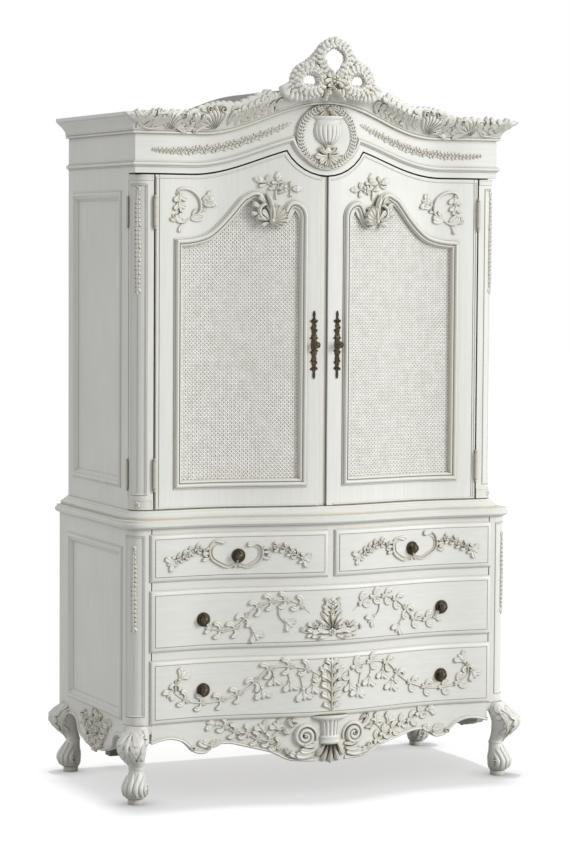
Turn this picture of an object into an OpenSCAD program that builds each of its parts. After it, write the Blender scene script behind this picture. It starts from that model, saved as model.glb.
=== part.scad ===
// Two-part painted armoire: bow-fronted chest of drawers below, cane-doored
// cupboard with an arched and carved top above. Millimetres, +Z up.
// The origin is on the floor, under the middle of the whole piece.

/* [Lower case] */
// Width over the side frames
lower_w = 1304; // [1200:1:1400]
// Depth from the back to the front at the corners
lower_d = 642; // [600:1:690]
// Radius of the rounded front corner posts
lower_corner_r = 46; // [30:1:50]
// Width of each corner post on the front
post_w = 70; // [60:1:84]
// Depth of each corner post
post_d = 60; // [54:1:76]
// Height of the lowest drawer opening
bottom_open_h = 181; // [150:1:210]
// Height of the middle drawer opening
middle_open_h = 174; // [150:1:200]
// Height of the two small drawer openings
small_open_h = 131; // [110:1:150]
// Height of each rail between drawers
rail_h = 42; // [34:1:56]
// Height of the rail over the small drawers
top_rail_h = 24; // [18:1:36]
// Width of the divider between the small drawers
divider_w = 36; // [30:1:50]
// Thickness of the chest's top board
lower_top_t = 27; // [22:1:34]
// How far the chest's top board stands out past the case
lower_top_out = 16; // [12:1:22]

/* [Legs and aprons] */
// Thickness of the round pads under the feet
pad_h = 16; // [10:1:22]
// Radius of the pads
pad_r = 24; // [20:1:27]
// Height of a leg with its corner block
leg_h = 226; // [215:1:240]
// Distance of a leg's centre from the side of the case
leg_inset = 22; // [16:1:30]
// Distance of a front leg's centre from the front at the corner
front_leg_inset = 12; // [6:1:20]
// Distance of a back leg's centre from the back
back_leg_inset = 48; // [44:1:60]
// Depth of the back corner blocks
back_block_d = 92; // [88:1:110]
// Height of the corner blocks over the legs
block_h = 46; // [40:1:52]
// Depth of the front apron at the middle
apron_drop = 147; // [130:1:165]
// How far the carved shell stands out from the apron
shell_t = 25; // [18:1:30]
// Depth of the side aprons at their lowest
side_apron_drop = 120; // [100:1:140]

/* [Drawers] */
// How far a drawer front laps over its opening all round
lap = 8; // [5:1:11]
// Thickness of a drawer front's lipped face
face_t = 10; // [8:1:14]
// Thickness of a drawer front behind the lip
plug_t = 10; // [8:1:16]
// Thickness of the drawer sides
drawer_side_t = 12; // [9:1:16]
// Thickness of the drawer bottoms
drawer_bottom_t = 6; // [4:1:9]
// Gap round a drawer in its opening
drawer_gap = 2; // [1.5:0.5:3]
// Depth left free behind the drawers
drawer_back_gap = 36; // [20:1:60]
// Radius of a knob's back plate
knob_plate_r = 22; // [16:1:26]
// How far a knob stands out
knob_out = 30; // [22:1:36]

/* [Upper case] */
// Width over the side frames
upper_w = 1244; // [1150:1:1290]
// Depth from the back to the front at the corners
upper_d = 592; // [540:1:620]
// Thickness of the moulding under the cupboard
base_t = 26; // [20:1:32]
// How far that moulding stands out
base_out = 27; // [20:1:34]
// Height of the sides up to the crown
side_h = 1153; // [1130:1:1180]
// Height of the doors at their outer edge
door_h = 1026; // [990:1:1036]
// Thickness of the frieze board
frieze_t = 24; // [18:1:30]
// Height of one shelf board
shelf_t = 18; // [14:1:24]
// Number of shelves
shelf_n = 3; // [1:1:4]
// How far the shelves stop behind the pilasters
shelf_back = 14; // [8:1:40]

/* [Crown and crest] */
// How far the arch rises at the middle
arch_rise = 100; // [60:1:120]
// Half the span of the arch
arch_reach = 400; // [340:1:480]
// Height of the crown moulding
crown_h = 63; // [54:1:72]
// How far the crown stands out
crown_out = 44; // [36:1:52]
// Thickness of the arched roof board
roof_t = 8; // [5:1:12]
// Height of the crest's top over the arch of the crown
crest_h = 210; // [196:1:226]
// Thickness of the crest
crest_t = 31; // [24:1:36]
// Radius of the medallion's wreath
medal_r = 104; // [92:1:110]
// How far the medallion stands out
medal_t = 20; // [14:1:24]

/* [Doors and pilasters] */
// Depth of the bow at the middle of the fronts
bow = 45; // [25:1:60]
// Depth of the hollow each side of the bow
hollow = 10; // [0:1:16]
// Width of each pilaster
pilaster_w = 63; // [56:1:76]
// Depth of each pilaster
pilaster_d = 50; // [46:1:60]
// Radius of the pilaster's rounded corner
pilaster_r = 42; // [30:1:44]
// Thickness of the doors
door_t = 24; // [20:1:28]
// Rise of the door tops from the outer edge to the cusp
door_rise = 98; // [70:1:105]
// Half the span of that rise
door_reach = 430; // [400:1:480]
// Radius of the scoop in the door tops, round the medallion
scoop_r = 153; // [146:1:160]
// Width of the recessed strip where the doors meet
strip_w = 26; // [18:1:34]
// How far the strip lies behind the front
strip_back = 9; // [5:1:12]
// Distance of the right door's meeting edge from the middle
meet_x = 7; // [2:1:12]
// Gap over the doors
top_gap = 5; // [3:0.5:8]
// Gap under the doors and where they meet
door_gap = 2; // [1.5:0.5:4]
// Height of the bottom of the cane panels over the door's foot
panel_low = 60; // [50:1:90]
// Distance of the panel moulding from the middle of the piece
panel_in = 64; // [56:1:74]
// Distance from the panel moulding to the door's outer edge
panel_edge = 57; // [50:1:66]
// Width of the moulding round the cane
panel_mould_w = 28; // [22:1:34]
// Thickness of the cane panels
cane_t = 4; // [3:0.5:6]
// Length of the pull plates
plate_l = 212; // [170:1:230]
// Height of the pull knobs over the doors' foot
pull_z = 504; // [440:1:560]

/* [Hinges] */
// Gap that holds a hinge's two leaves
hinge_gap = 4; // [3.6:0.1:5]
// Thickness of a hinge leaf
leaf_t = 1.5; // [1:0.1:1.7]
// Length of the hinge leaves across the gap
leaf_w = 30; // [20:1:34]
// Length of a hinge
hinge_l = 82; // [60:1:100]
// Radius of the door hinges' knuckles
knuckle_r = 5.5; // [4.5:0.1:6.5]
// Radius of the side hinges' knuckles
side_knuckle_r = 4; // [3.5:0.1:5]
// Radius of the hinge pins
pin_r = 2; // [1.5:0.1:2.5]
// Height of the lower hinges over the doors' foot
hinge_low = 107; // [80:1:160]
// Height of the upper hinges over the doors' foot
hinge_high = 912; // [860:1:930]

/* [Hidden] */

front_paint = "#DCDDD7";
side_paint = "#C9C9C1";
bare_wood = "#A98E6B";
dark_wood = "#4B4239";
cane_tone = "#D9D6CF";
brass = "#6B5535";
bronze = "#4A4032";

// Board thicknesses and joints that the cases share
case_t = 22;
back_t = 10;
base_board_t = 8;
panel_t = 8;
panel_set = 8;
fit = 0.5;
pin_fit = 0.05;

// Heights, one on top of the other
base_z = pad_h + leg_h;
floor_z = base_z + base_board_t;
bottom_z1 = floor_z + bottom_open_h;
middle_z0 = bottom_z1 + rail_h;
middle_z1 = middle_z0 + middle_open_h;
small_z0 = middle_z1 + rail_h;
small_z1 = small_z0 + small_open_h;
lower_z1 = small_z1 + top_rail_h;
top_z1 = lower_z1 + lower_top_t;
upper_z0 = top_z1 + base_t;
door_z0 = upper_z0 + door_gap;
door_z1 = door_z0 + door_h;
crown_z = upper_z0 + side_h;
scoop_z = door_z1 + scoop_r;
medal_z = scoop_z - 25;
crest_z1 = crown_z + arch_rise + crest_h;

// Half widths, and where the bowed part of each front ends
lower_x = lower_w / 2;
upper_x = upper_w / 2;
lower_open_x = lower_x - post_w;
pilaster_x = upper_x - pilaster_w;
door_x = pilaster_x - hinge_gap;

// The whole piece is drawn with its back at y = 0 and then centred
reach = max(lower_d + bow + shell_t, upper_d + bow + crown_out + crest_t);
module place() { translate([0, reach / 2, 0]) children(); }
module both() { children(); mirror([1, 0, 0]) children(); }

// The bow of the fronts: out at the middle, hollow near the ends, flush at the ends
turn = 0.72;
function bow_at(x, half) = let (t = min(abs(x) / half, 1))
  t < turn ? -hollow + (bow + hollow) * pow(cos(90 * t / turn), 2)
           : -hollow + hollow * pow(sin(90 * (t - turn) / (1 - turn)), 2);
function bow_turn(x, half) = atan(bow_at(x + 1, half) - bow_at(x - 1, half)) / 2;
// Every bowed piece is cut at the same stations, so that pieces lie flush on each other
step = 24;
function stations(x0, x1) =
  concat([x0], [for (i = [floor(x0 / step) + 1:ceil(x1 / step) - 1]) i * step], [x1]);

// A board that follows the bow, between the offsets o0 and o1; offsets count to the front
module bowed(x0, x1, z0, z1, o0, o1, d, half) {
  xs = stations(x0, x1);
  translate([0, 0, z0]) linear_extrude(z1 - z0) polygon(concat(
    [for (x = xs) [x, -d - bow_at(x, half) - o0]],
    [for (i = [len(xs) - 1:-1:0]) [xs[i], -d - bow_at(xs[i], half) - o1]]));
}
module lower_bowed(x0, x1, z0, z1, o0, o1) { bowed(x0, x1, z0, z1, o0, o1, lower_d, lower_open_x); }
module upper_bowed(x0, x1, z0, z1, o0, o1) { bowed(x0, x1, z0, z1, o0, o1, upper_d, door_x); }
// Outlines drawn in x and z are cut through the whole depth, and a little past it
past = 100;
module through() {
  translate([0, past, 0]) rotate([90, 0, 0]) linear_extrude(reach + 2 * past) children();
}
module upright(pts) { through() polygon(pts); }
function flip(v) = [for (i = [len(v) - 1:-1:0]) v[i]];

// Outline of a case in plan, grown by off: square back, rounded front corners, bowed front
function case_plan(hw, d, r, half, off) = let (xs = stations(-half, half), m = 5) concat(
  [[-hw - off, 0]],
  [for (i = [0:m]) let (a = 180 + 90 * i / m) [-hw + r + (r + off) * cos(a), -d + r + (r + off) * sin(a)]],
  [for (x = xs) if (abs(x) < hw - r - 1) [x, -d - bow_at(x, half) - off]],
  [for (i = [0:m]) let (a = 270 + 90 * i / m) [hw - r + (r + off) * cos(a), -d + r + (r + off) * sin(a)]],
  [[hw + off, 0]]);

// Lines of the front, seen from the front
function arch(x) = crown_z + arch_rise * (1 + cos(180 * min(abs(x) / arch_reach, 1))) / 2;
function door_curve(x) = door_z1 + door_rise * (1 + cos(180 * min(abs(x) / door_reach, 1))) / 2;
// The door-top line raised by lift; its scoop keeps the same centre
function head(x, lift) = let (r = scoop_r - lift, a = door_curve(x) + lift)
  abs(x) >= r ? a : min(a, scoop_z - sqrt(r * r - x * x));
function cusp(lift, a, b, n = 18) = n == 0 ? (a + b) / 2 : let (m = (a + b) / 2, r = scoop_r - lift)
  scoop_z - sqrt(max(r * r - m * m, 0)) < door_curve(m) + lift
    ? cusp(lift, m, b, n - 1) : cusp(lift, a, m, n - 1);
function head_stations(hw, lift) = let (r = scoop_r - lift, c = cusp(lift, r / 2, r), a = asin(c / r),
  right = concat([for (i = [1:6]) r * sin(a * i / 6)],
    [for (i = [1:12]) c + (door_reach - c) * i / 12],
    [for (i = [1:5]) door_reach + (door_x - door_reach) * i / 5], [hw]))
  concat([for (x = flip(right)) -x], [0], right);
function head_line(hw, lift) = [for (x = head_stations(hw, lift)) [x, head(x, lift)]];

// Mouldings swept round the upper case: back, corner, bowed front, corner, back.
// Each profile point is [out, up]; up is turned square to the line of the front.
function unit(v) = v / norm(v);
function mitre(line, i) = let (a = unit(line[i] - line[i - 1]), b = unit(line[i + 1] - line[i]),
  s = unit(a + b)) [-s[1], s[0]] / max(s * a, 0.45);
function front_ring(line, profile, i) = let (p = line[i], m = mitre(line, i))
  [for (q = profile) let (x = p[0] + q[1] * m[0])
    [x, -upper_d - bow_at(x, door_x) - q[0], p[1] + q[1] * m[1]]];
module swept(line, profile) {
  n = len(profile);
  z = line[0][1];
  last = len(line) - 2;
  function side_ring(s, y, k) = [for (q = profile) [s * (upper_x + q[0]), y - k * q[0], z + q[1]]];
  tube(concat([side_ring(1, 0, 0), side_ring(1, -upper_d, 1)],
    [for (i = [last:-1:1]) front_ring(line, profile, i)],
    [side_ring(-1, -upper_d, 1), side_ring(-1, 0, 0)]), n);
}
// A closed skin over rings of n points each, capped at both ends
module tube(rings, n) {
  m = len(rings);
  polyhedron(points = [for (r = rings) each r], faces = concat(
    [[for (j = [0:n - 1]) j]],
    [for (i = [0:m - 2], j = [0:n - 1]) let (k = (j + 1) % n) each
      [[i * n + j, (i + 1) * n + j, (i + 1) * n + k], [i * n + j, (i + 1) * n + k, i * n + k]]],
    [[for (j = [n - 1:-1:0]) (m - 1) * n + j]]), convexity = 8);
}

// A smooth line through a few chosen points
function bend(a, b, c, d, t) = (2 * b + (c - a) * t + (2 * a - 5 * b + 4 * c - d) * t * t
  + (3 * b - a - 3 * c + d) * t * t * t) / 2;
function smooth(p, n = 4) = let (m = len(p) - 1) concat(
  [for (i = [0:m - 1], k = [0:n - 1]) bend(p[max(i - 1, 0)], p[i], p[i + 1], p[min(i + 2, m)], k / n)],
  [p[m]]);
function mirrored(v) = concat(v, [for (i = [len(v) - 1:-1:0]) if (v[i][0] > 0) [-v[i][0], v[i][1]]]);
function oval(x, z, rx, rz, n = 24) =
  [for (i = [0:n - 1]) [x + rx * cos(360 * i / n), z + rz * sin(360 * i / n)]];
function moved(v, by) = [for (p = v) p + by];

// A frame of moulding, w by h outside, flat on its back; the profile is [inwards, up]
module mitred(w, h, profile) {
  for (s = [[w, h, 0], [h, w, 90], [w, h, 180], [h, w, 270]]) rotate([0, 0, s[2]]) intersection() {
    a = s[0] / 2;
    b = s[1] / 2;
    m = min(a, b);
    translate([-a, -b, 0]) rotate([90, 0, 90]) linear_extrude(2 * a) polygon(profile);
    linear_extrude(4 * panel_set, center = true) polygon([[-a, -b], [a, -b], [a - m, m - b], [m - a, m - b]]);
  }
}

// Sides: a board with an opening, grooved for its panel.
// Each side is [half width, depth, foot, top, opening: back, front, low, high]
side_stile = 14;
lower_side = [lower_x, lower_d - post_d, base_z, lower_z1,
  79, lower_d - post_d - side_stile, base_z + 9, lower_z1 - 57];
roof_up = crown_h - 6;
upper_side_top = crown_z + roof_up - roof_t;
upper_side_d = upper_d - pilaster_d - hinge_gap;
upper_side = [upper_x, upper_side_d, upper_z0, upper_side_top,
  44, upper_side_d - 63, upper_z0 + 65, crown_z - 173];
groove = 6;
side_mould_w = 30;
module side_board(s) {
  difference() {
    translate([-s[0], -s[1], s[2]]) cube([case_t, s[1], s[3] - s[2]]);
    translate([-s[0] - 1, -s[5], s[6]]) cube([case_t + 2, s[5] - s[4], s[7] - s[6]]);
    translate([-s[0] + panel_set, -s[5] - groove, s[6] - groove])
      cube([panel_t, s[5] - s[4] + 2 * groove, s[7] - s[6] + 2 * groove]);
  }
}
module side_panel(s) {
  g = groove - fit;
  translate([-s[0] + panel_set + fit / 2, -s[5] - g, s[6] - g])
    cube([panel_t - fit, s[5] - s[4] + 2 * g, s[7] - s[6] + 2 * g]);
}
side_profile = [[0, 0], [0, panel_set - 1], [2, panel_set + 1], [6, panel_set + 2], [10, panel_set + 1],
  [12, panel_set - 2], [15, panel_set - 1], [20, panel_set - 2], [25, panel_set - 5],
  [side_mould_w - 2, 3], [side_mould_w, 2], [side_mould_w, 0]];
module side_moulding(s) {
  translate([-s[0] + panel_set, -(s[4] + s[5]) / 2, (s[6] + s[7]) / 2]) rotate([90, 0, -90])
    mitred(s[5] - s[4] - fit, s[7] - s[6] - fit, side_profile);
}
module lower_sides() { color(side_paint) both() side_board(lower_side); }
module upper_sides() { color(side_paint) both() side_board(upper_side); }
module side_panels() { color(side_paint) both() { side_panel(lower_side); side_panel(upper_side); } }
module side_mouldings() { color(front_paint) both() { side_moulding(lower_side); side_moulding(upper_side); } }

// An upright post with one rounded corner, to the front left; out makes it proud on the two outer faces
module post(hw, d, w, dp, r, z0, z1, out = 0) {
  translate([0, 0, z0]) linear_extrude(z1 - z0) {
    translate([-hw + r, -d + r]) intersection() {
      circle(r + out, $fn = 64);
      translate([-r - out, -r - out]) square(r + out);
    }
    translate([-hw + r, -d - out]) square([w - r, dp + out]);
    translate([-hw - out, -d + r]) square([w + out, dp - r]);
  }
}
// Carved husks hanging down the rounded corner, in a row of n from z0 up to z1
husk_turn = 50;
module husks(hw, d, r, z0, z1, n, size) {
  for (i = [0:n - 1]) {
    s = size * (0.65 + 0.35 * sin(180 * (i + 0.5) / n));
    translate([-hw + r, -d + r, z0 + (z1 - z0) * (i + 0.5) / n]) rotate([0, 0, 180 + husk_turn])
      translate([r - s + husk_out, 0, 0]) sphere(s, $fn = 32);
  }
}
husk_out = 5;
strip_groove = 2;
block_out = 2;

// Chest of drawers
module corner_posts() {
  color(front_paint) both() {
    difference() {
      union() {
        post(lower_x, lower_d, post_w, post_d, lower_corner_r, base_z, lower_z1);
        husks(lower_x, lower_d, lower_corner_r, lower_z1 - 318, lower_z1 - 54, 8, 14);
      }
      translate([-lower_x + lower_corner_r + strip_groove, -lower_d - 1, base_z + block_h])
        cube([strip_groove, strip_groove + 1, lower_z1 - base_z - 2 * block_h]);
    }
  }
}
module lower_back() {
  color(bare_wood) translate([-lower_x + case_t, -back_t, base_z])
    cube([lower_w - 2 * case_t, back_t, lower_z1 - base_z]);
}
module lower_bottom() {
  color(bare_wood) difference() {
    translate([0, 0, base_z]) linear_extrude(base_board_t) polygon(concat(
      [[-lower_x + case_t, -back_t], [-lower_x + case_t, -lower_d]],
      [for (x = stations(-lower_open_x, lower_open_x)) [x, -lower_d - bow_at(x, lower_open_x)]],
      [[lower_x - case_t, -lower_d], [lower_x - case_t, -back_t]]));
    both() translate([-lower_x, -lower_d - 1, base_z - 1]) cube([post_w, post_d + 1, base_board_t + 2]);
  }
}
top_profile = [[4, 0], [12, 4], [lower_top_out, 9], [lower_top_out, 17], [12, 20], [10, 21],
  [10, lower_top_t]];
module lower_top() {
  rings = [for (q = top_profile) [for (p = case_plan(lower_x, lower_d, lower_corner_r, lower_open_x, q[0]))
    [p[0], p[1], lower_z1 + q[1]]]];
  color(front_paint) tube(rings, len(rings[0]));
}
rail_t = 26;
module face_rails() {
  color(front_paint) {
    for (z = [[bottom_z1, middle_z0], [middle_z1, small_z0], [small_z1, lower_z1]])
      lower_bowed(-lower_open_x, lower_open_x, z[0], z[1], 0, -rail_t);
    lower_bowed(-divider_w / 2, divider_w / 2, small_z0, small_z1, 0, -rail_t);
  }
}
seat = 0.3;
bearer_h = 20;
module runner(z) {
  inner = lower_open_x - drawer_gap - drawer_side_t - 8;
  y1 = lower_d - post_d;
  translate([-lower_x + case_t, -y1, max(z - bearer_h, floor_z)])
    cube([lower_x - case_t - inner, y1 - back_t, min(bearer_h, z - floor_z) + drawer_gap - seat]);
  translate([-lower_x + case_t, -y1, z])
    cube([lower_x - case_t - lower_open_x, y1 - back_t, bearer_h]);
}
module drawer_runners() {
  w = divider_w + 2 * (drawer_gap + drawer_side_t + 4);
  y0 = -lower_d - bow_at(w / 2, lower_open_x) + rail_t + seat;
  color(bare_wood) {
    both() for (z = [floor_z, middle_z0, small_z0]) runner(z);
    translate([-w / 2, y0, small_z0 - bearer_h]) cube([w, -back_t - y0, bearer_h + drawer_gap - seat]);
    translate([-divider_w / 2, y0, small_z0]) cube([divider_w, -back_t - y0, bearer_h]);
  }
}

// Aprons: [share of the half length, share of the drop] along the lower edge
apron_edge = [[1, 0.41], [0.945, 0.355], [0.885, 0.34], [0.825, 0.41], [0.787, 0.52], [0.758, 0.64],
  [0.722, 0.69], [0.684, 0.69], [0.653, 0.6], [0.622, 0.52], [0.55, 0.515], [0.49, 0.57], [0.361, 0.7],
  [0.321, 0.75], [0.237, 0.91], [0.175, 0.945], [0.086, 0.965], [0, 1]];
side_edge = [[1, 0.4], [0.85, 0.36], [0.7, 0.45], [0.6, 0.76], [0.45, 0.86], [0.3, 0.95], [0.15, 0.98],
  [0, 1]];
function apron_line(edge, half, drop) =
  let (e = [for (p = smooth(edge, 3)) [p[0] * half, -p[1] * drop]]) concat([[half, 0]], e,
    [for (i = [len(e) - 2:-1:0]) [-e[i][0], e[i][1]]], [[-half, 0]]);
apron_t = 22;
module front_apron() {
  color(front_paint) intersection() {
    lower_bowed(-lower_open_x, lower_open_x, base_z - apron_drop - 1, base_z, 0, -apron_t);
    upright(moved(apron_line(apron_edge, lower_open_x, apron_drop), [0, base_z]));
  }
}
module side_aprons() {
  y0 = back_block_d;
  y1 = lower_d - post_d;
  color(side_paint) both() translate([-lower_x, -(y0 + y1) / 2, base_z]) rotate([90, 0, 90])
    linear_extrude(apron_t) polygon(apron_line(side_edge, (y1 - y0) / 2, side_apron_drop));
}
// The shell under the middle: a keystone, a fan of lobes and a volute each side
volute_x = 86;
volute_r = 42;
lobe_n = 7;
lobe_w = 12;
lobe_l = 76;
lobe_drop = 72;
function turned(v, a) = [for (p = v) [p[0] * cos(a) - p[1] * sin(a), p[1] * cos(a) + p[0] * sin(a)]];
key_h = 78;
key = [[44, 0], [40, -24], [32, -60], [34, -key_h], [0, -key_h]];
shell_half = 120;
module apron_shell() {
  top = base_z - 2;
  color(front_paint) {
    intersection() {
      lower_bowed(-shell_half, shell_half, top - key_h, top, shell_t, 0);
      upright(moved(mirrored(key), [0, top]));
    }
    for (i = [0:lobe_n - 1]) intersection() {
      a = 180 * (i / (lobe_n - 1) - 0.5) * 0.62;
      lower_bowed(-shell_half, shell_half, base_z - apron_drop - 6, top - key_h, shell_t - 3 - abs(a) / 9, 0);
      upright(moved(turned(oval(0, -lobe_l / 2 + 2, lobe_w, lobe_l / 2), a), [0, top - lobe_drop]));
    }
    both() for (r = [[volute_r, 9], [volute_r * 0.72, 14], [volute_r * 0.4, 19]]) difference() {
      intersection() {
        lower_bowed(-volute_x - volute_r - 4, -volute_x + volute_r + 4, base_z - 110, top, r[1], 0);
        upright(oval(-volute_x, top - volute_r - 6, r[0], r[0], 32));
      }
      upright(moved(mirrored(key), [0, top]));
    }
  }
}

// Legs: rings of [height, offset along the leg's own direction, half width]
leg_rings = [[0, 0, 24], [6, 2, 35], [14, 4, 41], [24, 5, 43], [36, 3, 41], [50, 0, 34], [66, -1, 29],
  [84, 0, 27], [100, 5, 30], [116, 14, 37], [132, 22, 44], [148, 25, 47], [166, 21, 47], [182, 13, 43],
  [196, 3, 36], [204, -3, 30]];
leg_sides = 16;
module leg(turned, lean) {
  rings = [for (q = leg_rings) [for (i = [0:leg_sides - 1]) let (a = 360 * i / leg_sides,
    r = q[2] * (1 + 0.03 * cos(2 * a))) [q[1] * lean + r * cos(a), 0.96 * r * sin(a), q[0]]]];
  rotate([0, 0, turned]) tube(rings, leg_sides);
}
front_leg_y = -(lower_d - front_leg_inset);
leg_x = -(lower_x - leg_inset);
module front_legs() {
  color(front_paint) both() {
    translate([leg_x, front_leg_y, pad_h]) leg(225, 1);
    post(lower_x, lower_d, post_w, post_d, lower_corner_r, base_z - block_h, base_z);
  }
}
module back_legs() {
  color(side_paint) both() {
    translate([leg_x, -back_leg_inset, pad_h]) leg(180, 0.7);
    translate([-lower_x, -back_block_d, base_z - block_h]) cube([post_w, back_block_d, block_h]);
  }
}
module foot_pads() {
  color(front_paint) both() for (y = [front_leg_y, -back_leg_inset])
    translate([leg_x, y, 0]) cylinder(h = pad_h, r = pad_r, $fn = 48);
}
support_w = 42;
support_x = 481;
support_foot = 42;
module support_blocks() {
  half = support_w / 2;
  color(dark_wood) both() translate([-support_x - half, -back_leg_inset - half, support_foot])
    cube([support_w, support_w, base_z - support_foot]);
}

// Cupboard
module upper_back() {
  color(bare_wood) intersection() {
    translate([-upper_x + case_t, -back_t, upper_z0])
      cube([upper_w - 2 * case_t, back_t, crest_z1 - upper_z0]);
    upright(concat([[-upper_x, 0], [upper_x, 0]], flip(arch_line(upper_x, roof_up - roof_t))));
  }
}
function arch_line(hw, lift) =
  [for (x = concat([-hw], stations(-door_x, door_x), [hw])) [x, arch(x) + lift]];
behind_doors = 3;
module upper_bottom() {
  y = -(upper_side_d - 2);
  color(bare_wood) translate([0, 0, upper_z0]) linear_extrude(shelf_t) polygon(concat(
    [[-upper_x + case_t, -back_t], [-upper_x + case_t, y], [-pilaster_x + 2, y]],
    [for (x = stations(-pilaster_x + 2, pilaster_x - 2))
      [x, -upper_d - bow_at(x, door_x) + door_t + behind_doors]],
    [[pilaster_x - 2, y], [upper_x - case_t, y], [upper_x - case_t, -back_t]]));
}
base_profile = [[base_out, 0], [base_out, 9], [base_out - 3, 12], [base_out - 9, 14], [base_out - 12, 18],
  [8, 21], [6, 24], [2, base_t]];
module base_moulding() {
  rings = [for (q = base_profile) [for (p = case_plan(upper_x, upper_d, pilaster_r, door_x, q[0]))
    [p[0], p[1], top_z1 + q[1]]]];
  color(front_paint) tube(rings, len(rings[0]));
}
module frieze() {
  z = door_z1;
  color(front_paint) intersection() {
    union() {
      upper_bowed(-upper_x, upper_x, z, crest_z1, 0, -frieze_t);
      both() translate([-upper_x, -upper_d, z]) cube([case_t, upper_d - upper_side_d, crest_z1 - z]);
    }
    upright(concat(head_line(upper_x, top_gap), flip(arch_line(upper_x, roof_up - roof_t))));
  }
}
astragal_lift = 33;
astragal_profile = [[seat, -8], [3, -8], [5, -5], [8, -3], [9, 0], [8, 3], [5, 5], [3, 8], [seat, 8]];
module astragal() {
  color(front_paint) difference() {
    swept(head_line(upper_x, astragal_lift), astragal_profile);
    upright(oval(0, medal_z, medal_r + fit, medal_r + fit, 48));
  }
}
crown_profile = [[seat, 0], [10, 0], [10, 8], [12, 12], [14, 22], [20, 32], [30, 40], [36, 46], [38, 50],
  [crown_out, 52], [crown_out, crown_h], [seat, crown_h]];
module crown() { color(front_paint) swept(arch_line(upper_x, 0), crown_profile); }
// Leaf carving laid over the front of the crown, from the corners up to the crest
leaf_n = 9;
carve_in = 190;
function carve_top(x) = let (t = (abs(x) - carve_in) / (upper_x - carve_in), u = t * leaf_n)
  crown_h + 4 + 20 * pow(sin(180 * min(1, t * 1.1)), 0.7) * (0.8 + 0.2 * abs(sin(180 * u)));
function arch_up(x) = let (rise = arch(x + 1) - arch(x - 1)) unit([-rise, 2]);
function carve_ring(x) = let (g = 2 * seat, h = carve_top(x), m = arch_up(x),
  d = 7 + 4 * abs(sin(180 * leaf_n * abs(x) / upper_x)))
  [for (q = [[14 + g, 14], [20 + g, 30], [36 + g, 44], [crown_out + g, 50], [crown_out + g, crown_h + 2],
    [crown_out - 6, h], [crown_out + d, h], [crown_out + d + 2, 50], [34 + d, 34], [18 + d, 16]])
    let (u = x + q[1] * m[0]) [u, -upper_d - bow_at(u, door_x) - q[0], arch(x) + q[1] * m[1]]];
module crown_carving() {
  n = 80;
  rings = [for (i = [0:n]) carve_ring(-upper_x - 6 + (upper_x + 6 - carve_in) * i / n)];
  color(front_paint) both() tube(rings, len(rings[0]));
}
crest_edge = [[0, 1], [25, 0.962], [48, 0.857], [62, 0.69], [72, 0.56], [94, 0.545], [122, 0.476],
  [142, 0.362], [146, 0.229], [178, 0.2], [188, 0.086], [160, -0.038], [100, -0.01], [45, 0.029], [0, 0.01]];
// The outline's heights are shares of crest_h; the openings are [x, height, half width, half height]
crest_holes = [[0, 0.64, 24, 0.16], [81, 0.34, 18, 0.11], [-81, 0.34, 18, 0.11]];
crest_half = 200;
module crest() {
  z = crown_z + arch_rise;
  outline = smooth([for (p = crest_edge) [p[0], p[1] * crest_h]], 4);
  color(front_paint) difference() {
    intersection() {
      upper_bowed(-crest_half, crest_half, z - crest_t, crest_z1, crown_out + crest_t, crown_out + seat);
      upright(moved(mirrored([for (p = outline) [max(p[0], 0), p[1]]]), [0, z]));
    }
    for (h = crest_holes) upright(oval(h[0], z + h[1] * crest_h, h[2], h[3] * crest_h));
  }
}
wreath_w = 22;
urn = [[0, 64], [50, 64], [46, 56], [38, 44], [44, 20], [38, 0], [20, -20], [8, -26], [8, -38], [24, -46],
  [24, -51], [0, -51]];
module medallion() {
  color(front_paint) intersection() {
    union() {
      for (r = [[0, medal_r, 6], [medal_r - wreath_w, medal_r, medal_t - 4]]) difference() {
        intersection() {
          upper_bowed(-medal_r - 1, medal_r + 1, medal_z - medal_r - 1, medal_z + medal_r + 1, r[2], 0);
          upright(oval(0, medal_z, r[1], r[1], 48));
        }
        if (r[0] > 0) upright(oval(0, medal_z, r[0], r[0], 48));
      }
      intersection() {
        upper_bowed(-60, 60, medal_z - 60, medal_z + 70, medal_t, 0);
        upright(moved(mirrored(urn), [0, medal_z]));
      }
    }
    upright(concat([[-medal_r - 2, medal_z - medal_r - 2], [medal_r + 2, medal_z - medal_r - 2]],
      [for (x = [medal_r + 2:-10:-medal_r - 2]) [x, arch(x) - fit]]));
  }
}
module roof_board() {
  color(dark_wood) intersection() {
    translate([0, 0, crown_z]) linear_extrude(arch_rise + crown_h) polygon(concat(
      [[-upper_x, 0], [-upper_x, -upper_d]],
      [for (x = stations(-door_x, door_x)) [x, -upper_d - bow_at(x, door_x)]],
      [[upper_x, -upper_d], [upper_x, 0]]));
    upright(concat(arch_line(upper_x, roof_up - roof_t), flip(arch_line(upper_x, roof_up))));
  }
}
// Shelves stand on pins in the sides
shelf_z0 = upper_z0 + shelf_t;
function shelf_z(i) = shelf_z0 + (door_z1 - shelf_z0) * i / (shelf_n + 1);
shelf_d = upper_side_d - shelf_back;
pin_l = 12;
module shelves() {
  color(bare_wood) for (i = [1:shelf_n])
    translate([-upper_x + case_t + 1, -shelf_d, shelf_z(i)])
      cube([upper_w - 2 * case_t - 2, shelf_d - back_t - 1, shelf_t]);
}
shelf_pin_r = 3;
module shelf_pins() {
  color(brass) both() for (i = [1:shelf_n], y = [(back_t + upper_side[4]) / 2, (upper_side[5] + shelf_d) / 2])
    translate([-upper_x + case_t, -y, shelf_z(i) - shelf_pin_r - seat]) rotate([0, 90, 0])
      cylinder(h = pin_l, r = shelf_pin_r, $fn = 24);
}

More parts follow.
